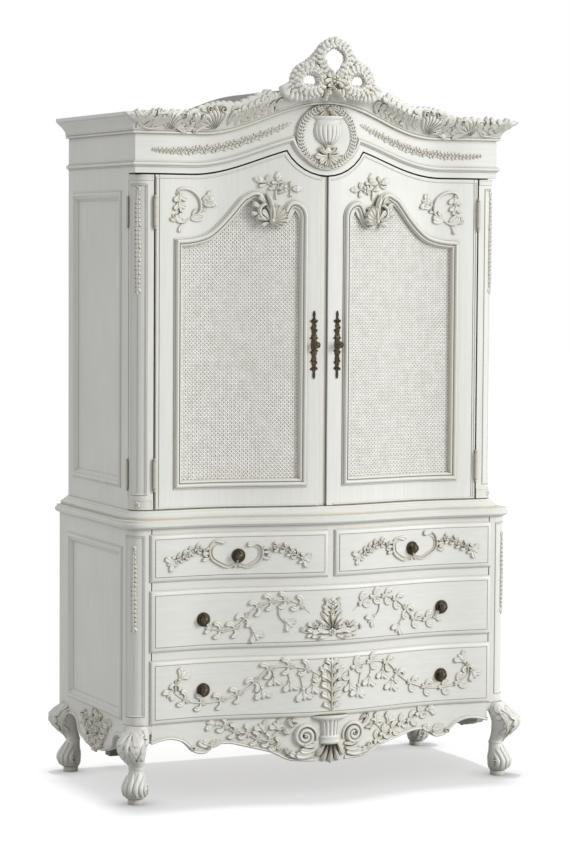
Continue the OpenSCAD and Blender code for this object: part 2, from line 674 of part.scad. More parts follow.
// Pilasters, hinged to the sides; each carries a door
module pilaster() {
  difference() {
    union() {
      post(upper_x, upper_d, pilaster_w, pilaster_d, pilaster_r, door_z0, door_z1);
      husks(upper_x, upper_d, pilaster_r, door_z1 - 367, door_z1 - 38, 9, 13);
      for (z = [[door_z0, door_z0 + 31], [door_z1 - 19, door_z1]])
        post(upper_x, upper_d, pilaster_w - 2, pilaster_d - 2, pilaster_r, z[0], z[1], block_out);
    }
    translate([-pilaster_x - 22, -upper_d - 1, door_z0 + block_h])
      cube([strip_groove, strip_groove + 1, door_h - 2 * block_h]);
  }
}
module pilaster_left() { color(front_paint) pilaster(); }
module pilaster_right() { color(front_paint) mirror([1, 0, 0]) pilaster(); }

// Doors. Outlines are drawn for the right-hand door and mirrored for the left.
// The panel's head: [share of the width from the middle, height under the door's outer corner]
panel_head = [[0, 150], [0.01, 118], [0.05, 88], [0.127, 72], [0.175, 104], [0.225, 132], [0.285, 118],
  [0.335, 76], [0.396, 47], [0.495, 66], [0.602, 117], [0.68, 152], [0.76, 177], [0.88, 190], [1, 193]];
panel_x0 = panel_in - 4;
panel_x1 = door_x - panel_edge - 6;
function panel_line() = concat([[panel_x1, door_z0 + panel_low], [panel_x0, door_z0 + panel_low]],
  [for (p = smooth(panel_head, 3)) [panel_x0 + p[0] * (panel_x1 - panel_x0), door_z1 - p[1]]]);
module panel_shape(grow) { offset(delta = grow) polygon(panel_line()); }
cane_lap = 7;
cane_back = 10;
bead_w = 12;
module door_frame(x0) {
  difference() {
    intersection() {
      upper_bowed(x0, door_x, door_z0, crest_z1, 0, -door_t);
      upright(concat([[0, 0], [upper_x, 0]], flip([for (p = head_line(upper_x, 0)) if (p[0] >= 0) p])));
    }
    through() panel_shape(-panel_mould_w);
    intersection() {
      through() panel_shape(cane_lap - panel_mould_w);
      upper_bowed(0, door_x, door_z0, crest_z1, -cane_back, -door_t - 1);
    }
    translate([door_x - bead_w - strip_groove, -upper_d - 20, door_z0 - 1])
      cube([strip_groove, 20 + strip_groove, door_h + 2]);
  }
}
module door_frame_left() { color(front_paint) mirror([1, 0, 0]) door_frame(strip_w - meet_x + door_gap); }
module door_frame_right() { color(front_paint) door_frame(meet_x); }
module meeting_strip() {
  color(front_paint) intersection() {
    upper_bowed(-(strip_w - meet_x + door_gap), meet_x - door_gap, door_z0, crest_z1, -strip_back, -door_t);
    upright(concat([[-upper_x, 0], [upper_x, 0]], flip(head_line(upper_x, 0))));
  }
}
module door_moulding() {
  for (r = [[0, panel_mould_w, 3], [5, panel_mould_w - 12, 7]]) intersection() {
    upper_bowed(0, door_x, door_z0, crest_z1, r[2], 0);
    through() difference() {
      panel_shape(-r[0]);
      panel_shape(-r[1]);
    }
  }
}
module door_moulding_left() { color(front_paint) mirror([1, 0, 0]) door_moulding(); }
module door_moulding_right() { color(front_paint) door_moulding(); }
module cane() {
  intersection() {
    upper_bowed(0, door_x, door_z0, crest_z1, -cane_back - seat, -cane_back - cane_t);
    through() panel_shape(cane_lap - panel_mould_w - fit);
  }
}
module cane_left() { color(cane_tone) mirror([1, 0, 0]) cane(); }
module cane_right() { color(cane_tone) cane(); }

// Pulls: a long plate with a knob at its middle
pull_x = 40;
plate_t = 3;
// Half outline of a pull plate: [half width, share of the half length]
plate_edge = [[0, 1], [4, 0.96], [7, 0.85], [4, 0.74], [9, 0.62], [6, 0.49], [10, 0.36], [7, 0.25],
  [9, 0.11], [9, 0]];
pull_r = 10.5;
pull_out = 33;
module pull() {
  half = smooth([for (p = plate_edge) [p[0], p[1] * plate_l / 2]], 3);
  right = concat(half, [for (i = [len(half) - 2:-1:0]) [half[i][0], -half[i][1]]]);
  intersection() {
    upper_bowed(pull_x - 20, pull_x + 20, door_z0, door_z1, plate_t, seat);
    upright(moved(mirrored([for (p = right) [max(p[0], 0), p[1]]]), [pull_x, door_z0 + pull_z]));
  }
  translate([pull_x, -upper_d - bow_at(pull_x, door_x) - 1, door_z0 + pull_z]) rotate([90, 0, 0])
    rotate_extrude($fn = 40) polygon(concat([[0, 0], [8, 0], [7, 4], [4, 7], [4, 14]],
      [for (i = [0:8]) let (a = -60 + 150 * i / 8) [pull_r * cos(a), pull_out - 1 - pull_r * (1 - sin(a))]]));
}
module pull_left() { color(brass) mirror([1, 0, 0]) pull(); }
module pull_right() { color(brass) pull(); }

// Hinges. A hinge has its pin upright at the origin and its leaves running back along +Y:
// the fixed leaf on the side of -X with the end knuckles, the moving leaf with the middle one.
module knuckle(z0, z1, r) {
  difference() {
    translate([0, 0, z0]) cylinder(h = z1 - z0, r = r, $fn = 40);
    translate([0, 0, z0 - 1]) cylinder(h = z1 - z0 + 2, r = pin_r + pin_fit, $fn = 40);
  }
}
knuckle_gap = 0.3;
module leaf(r, side, parts) {
  g = hinge_gap / 2;
  x = side < 0 ? -g : g - leaf_t;
  translate([x, r + seat, -hinge_l / 2]) cube([leaf_t, leaf_w, hinge_l]);
  for (p = parts) {
    knuckle(p[0], p[1], r);
    difference() {
      translate([x, 0, p[0]]) cube([leaf_t, r + seat + 1, p[1] - p[0]]);
      translate([0, 0, p[0] - 1]) cylinder(h = p[1] - p[0] + 2, r = pin_r + pin_fit, $fn = 40);
    }
  }
}
third = hinge_l / 6;
module fixed_leaf(r) {
  leaf(r, -1, [[-hinge_l / 2, -third - knuckle_gap / 2], [third + knuckle_gap / 2, hinge_l / 2]]);
}
module moving_leaf(r) { leaf(r, 1, [[-third + knuckle_gap / 2, third - knuckle_gap / 2]]); }
module hinge_pin(r) {
  h = hinge_l / 2 + seat;
  translate([0, 0, -h]) cylinder(h = 2 * h, r = pin_r, $fn = 40);
  finial = concat([[0, 0], [r - 0.5, 0], [r - 0.5, 1.5], [r - 2, 3]],
    [for (i = [0:6]) let (a = -60 + 150 * i / 6) [(r - 1) * cos(a), 3 + (r - 1) * (0.87 + sin(a))]]);
  for (s = [-1, 1]) scale([1, 1, s]) translate([0, 0, h]) rotate_extrude($fn = 40) polygon(finial);
}
hinge_heights = [door_z0 + hinge_low, door_z0 + hinge_high];
door_pin_x = -(pilaster_x + door_x) / 2;
door_pin_y = -upper_d - knuckle_r - seat;
side_pin_x = -upper_x - side_knuckle_r - seat;
side_pin_y = -(upper_side_d + hinge_gap / 2);
// Left-hand hinges; the right-hand ones mirror them
module at_door() { for (z = hinge_heights) translate([door_pin_x, door_pin_y, z]) children(); }
module at_side() {
  for (z = hinge_heights) translate([side_pin_x, side_pin_y, z]) rotate([0, 0, -90]) children();
}
module side_hinge_leaves() { color(brass) both() at_side() fixed_leaf(side_knuckle_r); }
module side_hinge_pins() { color(brass) both() at_side() hinge_pin(side_knuckle_r); }
module pilaster_leaves() {
  at_side() moving_leaf(side_knuckle_r);
  at_door() fixed_leaf(knuckle_r);
}
module pilaster_leaves_left() { color(brass) pilaster_leaves(); }
module pilaster_leaves_right() { color(brass) mirror([1, 0, 0]) pilaster_leaves(); }
module door_leaves_left() { color(brass) at_door() moving_leaf(knuckle_r); }
module door_leaves_right() { color(brass) mirror([1, 0, 0]) at_door() moving_leaf(knuckle_r); }
module door_pins_left() { color(brass) at_door() hinge_pin(knuckle_r); }
module door_pins_right() { color(brass) mirror([1, 0, 0]) at_door() hinge_pin(knuckle_r); }

// Drawers. An opening is [left, right, bottom, top]
small_left = [-lower_open_x, -divider_w / 2, small_z0, small_z1];
small_right = [divider_w / 2, lower_open_x, small_z0, small_z1];
middle = [-lower_open_x, lower_open_x, middle_z0, middle_z1];
bottom = [-lower_open_x, lower_open_x, floor_z, bottom_z1];
lip_w = 8;
lip_step = 4;
module drawer_front(o) {
  lower_bowed(o[0] - lap, o[1] + lap, o[2] - lap, o[3] + lap, face_t - lip_step, seat);
  lower_bowed(o[0] - lap + lip_w, o[1] + lap - lip_w, o[2] - lap + lip_w, o[3] + lap - lip_w, face_t, seat);
  lower_bowed(o[0] + drawer_gap, o[1] - drawer_gap, o[2] + drawer_gap, o[3] - drawer_gap, seat, -plug_t);
}
// Sides and back in one glued box, open below and above, with a bottom held in a groove
box_low = 12;
bottom_up = 8;
bottom_groove = 5;
module drawer_box(o) {
  a = o[0] + drawer_gap;
  w = o[1] - o[0] - 2 * drawer_gap;
  z = o[2] + drawer_gap;
  h = o[3] - drawer_gap - box_low - z;
  y1 = back_t + drawer_back_gap;
  t = drawer_side_t;
  len = lower_d + bow - y1;
  difference() {
    union() {
      difference() {
        translate([a, -y1 - len, z]) cube([w, len, h]);
        translate([a + t, -y1 - len - 1, z - 1]) cube([w - 2 * t, len + 1 - t, h + 2]);
        translate([a + t - bottom_groove, -y1 - len - 1, z + bottom_up])
          cube([w - 2 * (t - bottom_groove), len + 1 - t + bottom_groove, drawer_bottom_t]);
      }
      g = t - bottom_groove + fit;
      translate([a + g, -y1 - len, z + bottom_up + fit / 2]) cube([w - 2 * g, len - g, drawer_bottom_t - fit]);
    }
    lower_bowed(a - 1, a + w + 1, z - 1, z + h + 1, bow + hollow + 1, -plug_t);
  }
}
// A knob with its back plate, square to the bowed front at x and clear of the hollow
plate_rise = 0.9;
module knob(x, o) {
  turn_z = bow_turn(x, lower_open_x);
  y = -lower_d - bow_at(x, lower_open_x) - face_t - plate_rise;
  translate([x, y, (o[2] + o[3]) / 2]) rotate([90, 0, -turn_z]) rotate_extrude($fn = 48) polygon(concat(
      [[0, 0], [knob_plate_r, 0], [knob_plate_r, 1.5], [knob_plate_r - 3, 3],
      [knob_plate_r - 7, 4], [7, 6], [5.5, 9], [5.5, 13]],
      [for (i = [0:8]) let (a = -65 + 155 * i / 8)
        [knob_r * cos(a), knob_out - 0.62 * knob_r * (1 - sin(a))]]));
}
knob_r = 17;
small_knob_x = (lower_open_x + divider_w / 2) / 2;
knob_in = 170;
module small_left_front() { color(front_paint) drawer_front(small_left); }
module small_left_box() { color(bare_wood) drawer_box(small_left); }
module small_left_knob() { color(bronze) knob(-small_knob_x, small_left); }
module small_right_front() { color(front_paint) drawer_front(small_right); }
module small_right_box() { color(bare_wood) drawer_box(small_right); }
module small_right_knob() { color(bronze) knob(small_knob_x, small_right); }
module middle_front() { color(front_paint) drawer_front(middle); }
module middle_box() { color(bare_wood) drawer_box(middle); }
module middle_knobs() { color(bronze) for (s = [-1, 1]) knob(s * (lower_open_x - knob_in), middle); }
module bottom_front() { color(front_paint) drawer_front(bottom); }
module bottom_box() { color(bare_wood) drawer_box(bottom); }
module bottom_knobs() { color(bronze) for (s = [-1, 1]) knob(s * (lower_open_x - knob_in), bottom); }

place() lower_sides();
place() side_panels();
place() side_mouldings();
place() lower_back();
place() lower_bottom();
place() corner_posts();
place() lower_top();
place() face_rails();
place() drawer_runners();
place() front_apron();
place() apron_shell();
place() side_aprons();
place() front_legs();
place() back_legs();
place() foot_pads();
place() support_blocks();
place() upper_sides();
place() upper_back();
place() upper_bottom();
place() base_moulding();
place() frieze();
place() astragal();
place() crown();
place() crown_carving();
place() crest();
place() medallion();
place() roof_board();
place() shelves();
place() shelf_pins();
place() pilaster_left();
place() pilaster_right();
place() door_frame_left();
place() door_frame_right();
place() door_moulding_left();
place() door_moulding_right();
place() cane_left();
place() cane_right();
place() pull_left();
place() pull_right();
place() meeting_strip();
place() side_hinge_leaves();
place() side_hinge_pins();
place() pilaster_leaves_left();
place() pilaster_leaves_right();
place() door_leaves_left();
place() door_leaves_right();
place() door_pins_left();
place() door_pins_right();
place() small_left_front();
place() small_left_box();
place() small_left_knob();
place() small_right_front();
place() small_right_box();
place() small_right_knob();
place() middle_front();
place() middle_box();
place() middle_knobs();
place() bottom_front();
place() bottom_box();
place() bottom_knobs();
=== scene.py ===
# Linen press in painted, glazed wood: bow-fronted chest of drawers, cane-doored cupboard, carved crown.
# In the frame of the solids: +Z up, front to -Y, the middle of the piece at x = 0. The scene is in metres.
# Carving is worked out in millimetres, and each piece is scaled once, as it is made.
import math
import bmesh
import bpy
import numpy as np
from mathutils import Matrix, Vector


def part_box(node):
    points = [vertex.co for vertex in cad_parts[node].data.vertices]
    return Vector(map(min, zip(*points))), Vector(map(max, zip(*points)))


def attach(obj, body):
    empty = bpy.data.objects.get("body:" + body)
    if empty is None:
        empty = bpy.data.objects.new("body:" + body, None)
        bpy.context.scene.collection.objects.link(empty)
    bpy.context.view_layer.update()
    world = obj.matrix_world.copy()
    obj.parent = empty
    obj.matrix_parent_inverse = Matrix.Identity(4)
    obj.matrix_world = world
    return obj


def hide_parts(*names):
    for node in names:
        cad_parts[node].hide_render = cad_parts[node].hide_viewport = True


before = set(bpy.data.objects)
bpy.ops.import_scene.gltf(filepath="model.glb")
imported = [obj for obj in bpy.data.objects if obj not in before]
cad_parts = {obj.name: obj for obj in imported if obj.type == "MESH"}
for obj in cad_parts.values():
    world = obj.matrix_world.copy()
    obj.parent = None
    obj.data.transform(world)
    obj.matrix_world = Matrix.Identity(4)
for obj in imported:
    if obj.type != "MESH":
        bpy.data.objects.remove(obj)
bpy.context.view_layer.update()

mm = 0.001

# Lines of the fronts that the solids share, in millimetres, measured on the solids
caseLines = {
    "bow": 45, "hollow": 10, "turn": 0.72, "lowerHalf": 582, "upperHalf": 555, "archRise": 100,
    "archReach": 400, "doorRise": 98, "doorReach": 430, "scoop": 153}


def boxOf(name):
    return [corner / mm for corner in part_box(name)]


backY = boxOf("lower_back")[1].y
lowerY = boxOf("face_rails")[0].y + caseLines["bow"]
upperY = boxOf("frieze")[0].y + caseLines["bow"]
lowerX = boxOf("corner_posts")[1].x
upperX = boxOf("upper_sides")[1].x
baseZ = boxOf("lower_bottom")[0].z
doorFootZ = boxOf("door_frame_right")[0].z
doorCornerZ = boxOf("pilaster_left")[1].z
crownZ = boxOf("crown")[0].z
scoopZ = doorCornerZ + caseLines["scoop"]
medalZ = sum(corner.z for corner in boxOf("medallion")) / 2


# Camera: the photograph's angle, found from the cupboard's own edges
cameraSizes = {
    "place": (-3.717, -8.2226, 1.7231), "yaw": 24.26, "pitch": 3.816, "roll": 0.36, "focalPixels": 2807,
    "photoHeight": 858, "film": 36, "farthest": 200}


def addThing(name, data):
    thing = bpy.data.objects.new(name, data)
    bpy.context.scene.collection.objects.link(thing)
    return thing


def placeCamera(s):
    yaw, pitch, roll = (math.radians(s[k]) for k in ("yaw", "pitch", "roll"))
    ahead = Vector((math.sin(yaw) * math.cos(pitch), math.cos(yaw) * math.cos(pitch), -math.sin(pitch)))
    right = Vector((math.cos(yaw), -math.sin(yaw), 0))
    up = right.cross(ahead)
    turned = Matrix((right * math.cos(roll) + up * math.sin(roll),
                     up * math.cos(roll) - right * math.sin(roll), -ahead))
    lens = bpy.data.cameras.new("photoCamera")
    lens.sensor_width = s["film"]
    lens.lens = s["focalPixels"] / s["photoHeight"] * s["film"]
    lens.clip_end = s["farthest"]
    camera = addThing("photoCamera", lens)
    camera.matrix_world = Matrix.Translation(s["place"]) @ turned.transposed().to_4x4()
    bpy.context.scene.camera = camera


placeCamera(cameraSizes)


# Colour and nodes
def hexColour(text):
    channels = (int(text[i:i + 2], 16) / 255 for i in (1, 3, 5))
    return tuple(c / 12.92 if c <= 0.04045 else ((c + 0.055) / 1.055) ** 2.4 for c in channels) + (1.0,)


def giveInputs(tree, node, inputs):
    for key, given in inputs.items():
        if isinstance(given, bpy.types.NodeSocket):
            tree.links.new(given, node.inputs[key])
        else:
            node.inputs[key].default_value = given


def addNode(tree, kind, inputs=None, **settings):
    node = tree.nodes.new(kind)
    for key, value in settings.items():
        setattr(node, key, value)
    giveInputs(tree, node, inputs or {})
    return node


def maths(tree, operation, *given):
    return addNode(tree, "ShaderNodeMath", dict(enumerate(given)), operation=operation).outputs[0]


def vectorMaths(tree, operation, *given):
    return addNode(tree, "ShaderNodeVectorMath", dict(enumerate(given)), operation=operation).outputs[0]


def remap(tree, value, low, high, toLow, toHigh, **settings):
    inputs = dict(enumerate((value, low, high, toLow, toHigh)))
    return addNode(tree, "ShaderNodeMapRange", inputs, **settings).outputs[0]


def noise(tree, place, scale, detail, **more):
    inputs = {"Vector": place, "Scale": scale, "Detail": detail, **more}
    return addNode(tree, "ShaderNodeTexNoise", inputs).outputs["Fac"]


def hollows(tree, distance, samples=8, inside=False):
    return addNode(tree, "ShaderNodeAmbientOcclusion", {"Distance": distance},
                   samples=samples, inside=inside).outputs["AO"]


# socket names repeat in a colour mix, so its sockets are picked by place
def mixed(tree, share, first, second):
    return addNode(tree, "ShaderNodeMix", {0: share, 6: first, 7: second}, data_type="RGBA").outputs[2]


def scaled(tree, vector, factor):
    return addNode(tree, "ShaderNodeVectorMath", {0: vector, "Scale": factor}, operation="SCALE").outputs[0]


def grainPlace(tree, place, s, lengthwise):
    scale = [1 / s["grainWidth"]] * 3
    scale[lengthwise] = 1 / s["grainLength"]
    return addNode(tree, "ShaderNodeMapping", {"Vector": place, "Scale": scale}).outputs["Vector"]


def toneRamp(tree, value, tones):
    ramp = addNode(tree, "ShaderNodeValToRGB", {"Fac": value})
    for element, (position, colour) in zip(ramp.color_ramp.elements, tones):
        element.position = position
        element.color = hexColour(colour)
    return ramp.outputs["Color"]


def bumped(tree, height, strength, depth, **more):
    inputs = {"Height": height, "Strength": strength, "Distance": depth, **more}
    return addNode(tree, "ShaderNodeBump", inputs).outputs["Normal"]


def newMaterial(name):
    material = bpy.data.materials.new(name)
    material.use_nodes = True
    tree = material.node_tree
    coords = addNode(tree, "ShaderNodeTexCoord")
    return material, tree, tree.nodes["Principled BSDF"], coords.outputs["Object"]


# Eggshell paint, brushed on wood, with umber glaze wiped back so that it stays in the hollows.
# It gives a soft pale surface, faint strokes, brown lines in every crevice and rubbed arrises.
# Each glaze is (colour, openness where it is thickest, openness where it ends, how thick)
paintLook = {
    "paint": "#DFE0DB", "stroke": "#D0D1CA", "grainWidth": 9 * mm, "grainLength": 140 * mm,
    "cloud": 260 * mm, "hollow": 15 * mm,
    "glazes": (("#C2BAA8", 0.5, 0.97, 0.85), ("#6E6452", 0.22, 0.62, 0.95)), "arris": 2.5 * mm,
    "rubbed": "#C4BBA6", "rubbing": (0.25, 0.62, 0.55, 0.0), "gloss": (0.3, 0.7, 0.36, 0.52),
    "eased": 1.2 * mm, "bump": (0.25, 0.25 * mm)}


def glazedPaint(name, s, lengthwise):
    material, tree, shader, place = newMaterial(name)
    strokes = noise(tree, grainPlace(tree, place, s, lengthwise), 1.0, 3.0)
    clouds = noise(tree, place, 1 / s["cloud"], 4.0)
    tone = mixed(tree, strokes, hexColour(s["paint"]), hexColour(s["stroke"]))
    hollow = hollows(tree, s["hollow"])
    for colour, low, high, most in s["glazes"]:
        kept = remap(tree, hollow, low, high, most, 0.0, interpolation_type="SMOOTHSTEP")
        tone = mixed(tree, kept, tone, hexColour(colour))
    worn = remap(tree, hollows(tree, s["arris"], 6, True), *s["rubbing"])
    tone = mixed(tree, maths(tree, "MULTIPLY", worn, clouds), tone, hexColour(s["rubbed"]))
    eased = addNode(tree, "ShaderNodeBevel", {"Radius": s["eased"]}, samples=4).outputs["Normal"]
    giveInputs(tree, shader, {"Base Color": tone, "Roughness": remap(tree, clouds, *s["gloss"]),
                              "Normal": bumped(tree, strokes, *s["bump"], Normal=eased)})
    return material


paintUpright = glazedPaint("glazedPaintUpright", paintLook, 2)
paintLevel = glazedPaint("glazedPaintLevel", paintLook, 0)
paintDeep = glazedPaint("glazedPaintDeepBoards", paintLook, 1)
# Hinges are painted with the doors, thinner, so that they look a little darker
paintThin = glazedPaint("glazedPaintOverBrass", dict(paintLook, paint="#C6C5BC", stroke="#B9B7AB"), 2)
# Behind the cane the paint is darker, a painted shade, so that the holes of the weave read
caneGroundPaintedShade = glazedPaint("glazedPaintBehindCane", dict(paintLook, paint="#CBC7BC", stroke="#BBB6A9"), 2)

# Planed poplar, unfinished: straight brown growth lines, dry and matt. The roof's board is stained grey.
woodLooks = {
    "planedPoplar": {"tones": ((0.36, "#C3A57E"), (0.64, "#A4835B")), "rough": 0.72, "grainWidth": 14 * mm,
        "grainLength": 0.9},
    "stainedBoard": {"tones": ((0.36, "#8C8881"), (0.64, "#6E6A63")), "rough": 0.68, "grainWidth": 12 * mm,
        "grainLength": 0.8}}


def plainWood(name, s, lengthwise):
    material, tree, shader, place = newMaterial(name)
    grain = grainPlace(tree, place, s, lengthwise)
    rings = noise(tree, grain, 0.5, 5.0, Distortion=0.6)
    pores = noise(tree, grain, 6.0, 2.0)
    giveInputs(tree, shader, {"Base Color": toneRamp(tree, rings, s["tones"]),
            "Roughness": remap(tree, pores, 0.0, 1.0, s["rough"] - 0.08, s["rough"] + 0.08),
            "Normal": bumped(tree, pores, 0.3, 0.2 * mm)})
    return material


poplarDeep = plainWood("planedPoplarDeep", woodLooks["planedPoplar"], 1)
poplarWide = plainWood("planedPoplarWide", woodLooks["planedPoplar"], 0)
stainedBoard = plainWood("stainedBoard", woodLooks["stainedBoard"], 0)

# Cast metals with an antique finish: dark in the hollows, rubbed bright on what hands touch.
metalLooks = {
    "castBronze": {"tones": ((0.12, "#1A1612"), (0.72, "#655C4C")), "rough": 0.42},
    "agedBrass": {"tones": ((0.12, "#30261A"), (0.72, "#866B40")), "rough": 0.4}}


castSizes = {
    "patch": 7 * mm, "hollow": 4 * mm, "metallic": 0.85, "bump": (0.3, 0.3 * mm), "sheen": (-0.1, 0.15)}


def castMetal(name, look, s):
    material, tree, shader, place = newMaterial(name)
    patches = noise(tree, place, 1 / s["patch"], 4.0)
    rubbed = maths(tree, "MULTIPLY", hollows(tree, s["hollow"]), patches)
    giveInputs(tree, shader, {"Base Color": toneRamp(tree, rubbed, look["tones"]),
            "Metallic": s["metallic"], "Roughness": remap(tree, patches, 0.0, 1.0,
                *(look["rough"] + k for k in s["sheen"])), "Normal": bumped(tree, patches, *s["bump"])})
    return material


castBronze = castMetal("castBronze", metalLooks["castBronze"], castSizes)
agedBrass = castMetal("agedBrass", metalLooks["agedBrass"], castSizes)

# Split rattan cane, limed: pale glossy strands, a little yellower and browner from strand to strand.
caneLook = {
    "tones": ((0.14, "#F1F0EB"), (0.42, "#DDDAD0")), "fibre": 3 * mm, "patch": 25 * mm, "hollow": 5 * mm,
    "shade": (0.0, 0.8, 0.72, 1.0), "rough": 0.48, "bump": (0.3, 0.1 * mm)}


def splitCane(name, s):
    material, tree, shader, place = newMaterial(name)
    fibres = noise(tree, place, 1 / s["fibre"], 2.0)
    patches = noise(tree, place, 1 / s["patch"], 3.0)
    tone = toneRamp(tree, maths(tree, "MULTIPLY", fibres, patches), s["tones"])
    # Strands are darkened where others lie close over them: painted shade
    shade = remap(tree, hollows(tree, s["hollow"], 6), *s["shade"])
    giveInputs(tree, shader, {"Base Color": scaled(tree, tone, shade), "Roughness": s["rough"],
                              "Normal": bumped(tree, fibres, *s["bump"])})
    return material


caneStrand = splitCane("splitCane", caneLook)
print("materials: made")


# Every solid gets its material; its loose triangles are joined and shaded smooth up to the edges
finishes = ((paintUpright, ("lower_sides", "side_panels", "side_mouldings", "corner_posts", "upper_sides",
            "pilaster_left", "pilaster_right", "door_frame_left", "door_frame_right", "door_moulding_left",
            "door_moulding_right", "meeting_strip", "front_legs", "back_legs")),
    (paintLevel, ("lower_top", "face_rails", "front_apron", "apron_shell", "base_moulding", "frieze",
            "astragal", "crown", "crown_carving", "crest", "medallion", "small_left_front",
            "small_right_front", "middle_front", "bottom_front")),
    (paintDeep, ("side_aprons", "foot_pads")), (caneGroundPaintedShade, ("cane_left", "cane_right")),
    (poplarDeep, ("drawer_runners", "small_left_box", "small_right_box", "middle_box", "bottom_box")),
    (poplarWide, ("lower_back", "lower_bottom", "upper_back", "upper_bottom", "shelves")),
    (stainedBoard, ("roof_board", "support_blocks")), (castBronze,
        ("small_left_knob", "small_right_knob", "middle_knobs", "bottom_knobs")),
    (agedBrass, ("pull_left", "pull_right", "shelf_pins")), (paintThin,
        ("side_hinge_leaves", "side_hinge_pins", "pilaster_leaves_left", "pilaster_leaves_right",
            "door_leaves_left", "door_leaves_right", "door_pins_left", "door_pins_right")),)
finishSizes = {"join": 0.02 * mm, "sharp": 28}


def finishSolid(solid, material, s):
    solid.data.materials.clear()
    solid.data.materials.append(material)
    solid.data.polygons.foreach_set("use_smooth", [True] * len(solid.data.polygons))
    solid.modifiers.new("joined", "WELD").merge_threshold = s["join"]
    solid.modifiers.new("split", "EDGE_SPLIT").split_angle = math.radians(s["sharp"])


for material, names in finishes:
    for name in names:
        finishSolid(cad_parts[name], material, finishSizes)
print("solids: finished")


# Flat carving: points are (along, up, height over the surface); a wrap then lays them on their surface.
# Its underside is sunk into the surface.
sunk = 1.2


def unit(v):
    return v / np.maximum(np.linalg.norm(v, axis=-1, keepdims=True), 1e-9)


def smoothLine(points, count=6):
    p = np.array(points, float)
    q = np.vstack([2 * p[0] - p[1], p, 2 * p[-1] - p[-2]])
    t = np.linspace(0, 1, count, endpoint=False)[:, None]
    parts = []
    for a, b, c, d in zip(q[:-3], q[1:-2], q[2:-1], q[3:]):
        bend = (2 * a - 5 * b + 4 * c - d) * t ** 2 + (3 * b - a - 3 * c + d) * t ** 3
        parts.append((2 * b + (c - a) * t + bend) / 2)
    return np.vstack(parts + [p[-1:]])


def evenLine(points, step):
    p = np.array(points, float)
    along = np.concatenate([[0], np.cumsum(np.linalg.norm(np.diff(p, axis=0), axis=1))])
    s = np.linspace(0, along[-1], max(2, int(round(along[-1] / step)) + 1))
    return np.stack([np.interp(s, along, p[:, k]) for k in range(p.shape[1])], axis=1)


def loft(rings, closed=False):
    rings = np.asarray(rings, float)
    m, n = rings.shape[:2]
    faces = []
    for i in range(m if closed else m - 1):
        a, b = i * n, ((i + 1) % m) * n
        faces += [(a + j, a + (j + 1) % n, b + (j + 1) % n, b + j) for j in range(n)]
    if not closed:
        faces += [tuple(range(n - 1, -1, -1)), tuple((m - 1) * n + j for j in range(n))]
    return rings.reshape(-1, 3), faces


# A loft of flat-sided rings, such as a board's: its two ends are closed by strips across them
def boardLoft(rings):
    verts, faces = loft(rings)
    m, n = len(rings), len(rings[0])
    faces = faces[:-2]
    last = (m - 1) * n
    for j in range(n // 2 - 1):
        k = n - 1 - j
        faces += [(j, k, k - 1, j + 1), (last + j, last + j + 1, last + k - 1, last + k)]
    return verts, faces


def leftOf(line):
    ahead = unit(np.gradient(line, axis=0))
    return np.stack([-ahead[:, 1], ahead[:, 0]], axis=1)


def raised(parts, height):
    return [(v + np.array([0, 0, height]), f) for v, f in parts]


def flipped(parts):
    return [(v * np.array([-1, 1, 1]), f) for v, f in parts]


def both(parts):
    return parts + flipped(parts)


# A carved stem: half round on top, flat under, thinning towards both ends
def stem(points, width, height, thin=(0.35, 0.25), count=6):
    line = smoothLine(points, count)
    t = np.linspace(0, 1, len(line))
    grow = np.minimum(1, np.minimum(thin[0] + (1 - thin[0]) * t * 5, thin[1] + (1 - thin[1]) * (1 - t) * 5))
    rings = []
    for p, s, g in zip(line, leftOf(line), grow):
        half = s * width / 2 * g
        ring = [(*(p + half * math.cos(a)), math.sin(a) * height * g) for a in np.linspace(0, math.pi, 6)]
        rings.append(ring + [(*(p - half), -sunk), (*(p + half), -sunk)])
    return loft(rings)


# A leaf from its foot towards angle: lobed edges, ribs to each lobe, a sunk vein, its spine bent by curl
def leaf(foot, angle, length, width, height, lobes=0, curl=0.0, rows=None, full=0.42, ribs=9):
    rows = rows or (lobes * 5 + 2 if lobes else 8)
    t = np.linspace(0, 1, rows)
    bend = math.radians(angle) + math.radians(curl) * t
    step = length / (rows - 1)
    ahead = np.stack([np.cos(bend), np.sin(bend)], 1)
    spine = np.array(foot) + np.concatenate([[[0, 0]], np.cumsum(ahead[:-1] * step, axis=0)])
    outline = np.sin(math.pi * t ** (math.log(0.5) / math.log(full))) ** 0.75
    if lobes:
        outline = outline * (1 - 0.3 * np.abs(np.cos(math.pi * lobes * t)) ** 2)
    half = np.maximum(width / 2 * outline, width * 0.012)
    s = np.linspace(-1, 1, ribs)
    dome = np.sqrt(np.maximum(0, 1 - np.abs(s) ** 3))
    vein = 0.78 + 0.22 * np.minimum(1, np.abs(s) * 4)
    slip = step * 1.6 * np.abs(s) if lobes else s * 0
    rings = []
    for i in range(rows):
        swing = 1 - np.abs(s)
        if lobes:
            lobe = np.cos(2 * math.pi * (lobes * t[i] - 0.5 - 0.55 * np.abs(s)))
            swing = swing * 0.45 + 0.275 * (1 + lobe)
        swell = 0.35 + 0.65 * math.sin(math.pi * min(1, 0.12 + 0.85 * t[i]))
        across = np.array([-ahead[i][1], ahead[i][0]])
        flat = spine[i] + np.outer(half[i] * s, across) + np.outer(slip, ahead[i])
        ring = np.column_stack([flat, height * dome * (0.45 + 0.55 * swing) * vein * swell])
        rings.append(np.vstack([ring, [(*ring[-1][:2], -sunk), (*ring[0][:2], -sunk)]]))
    return loft(rings)


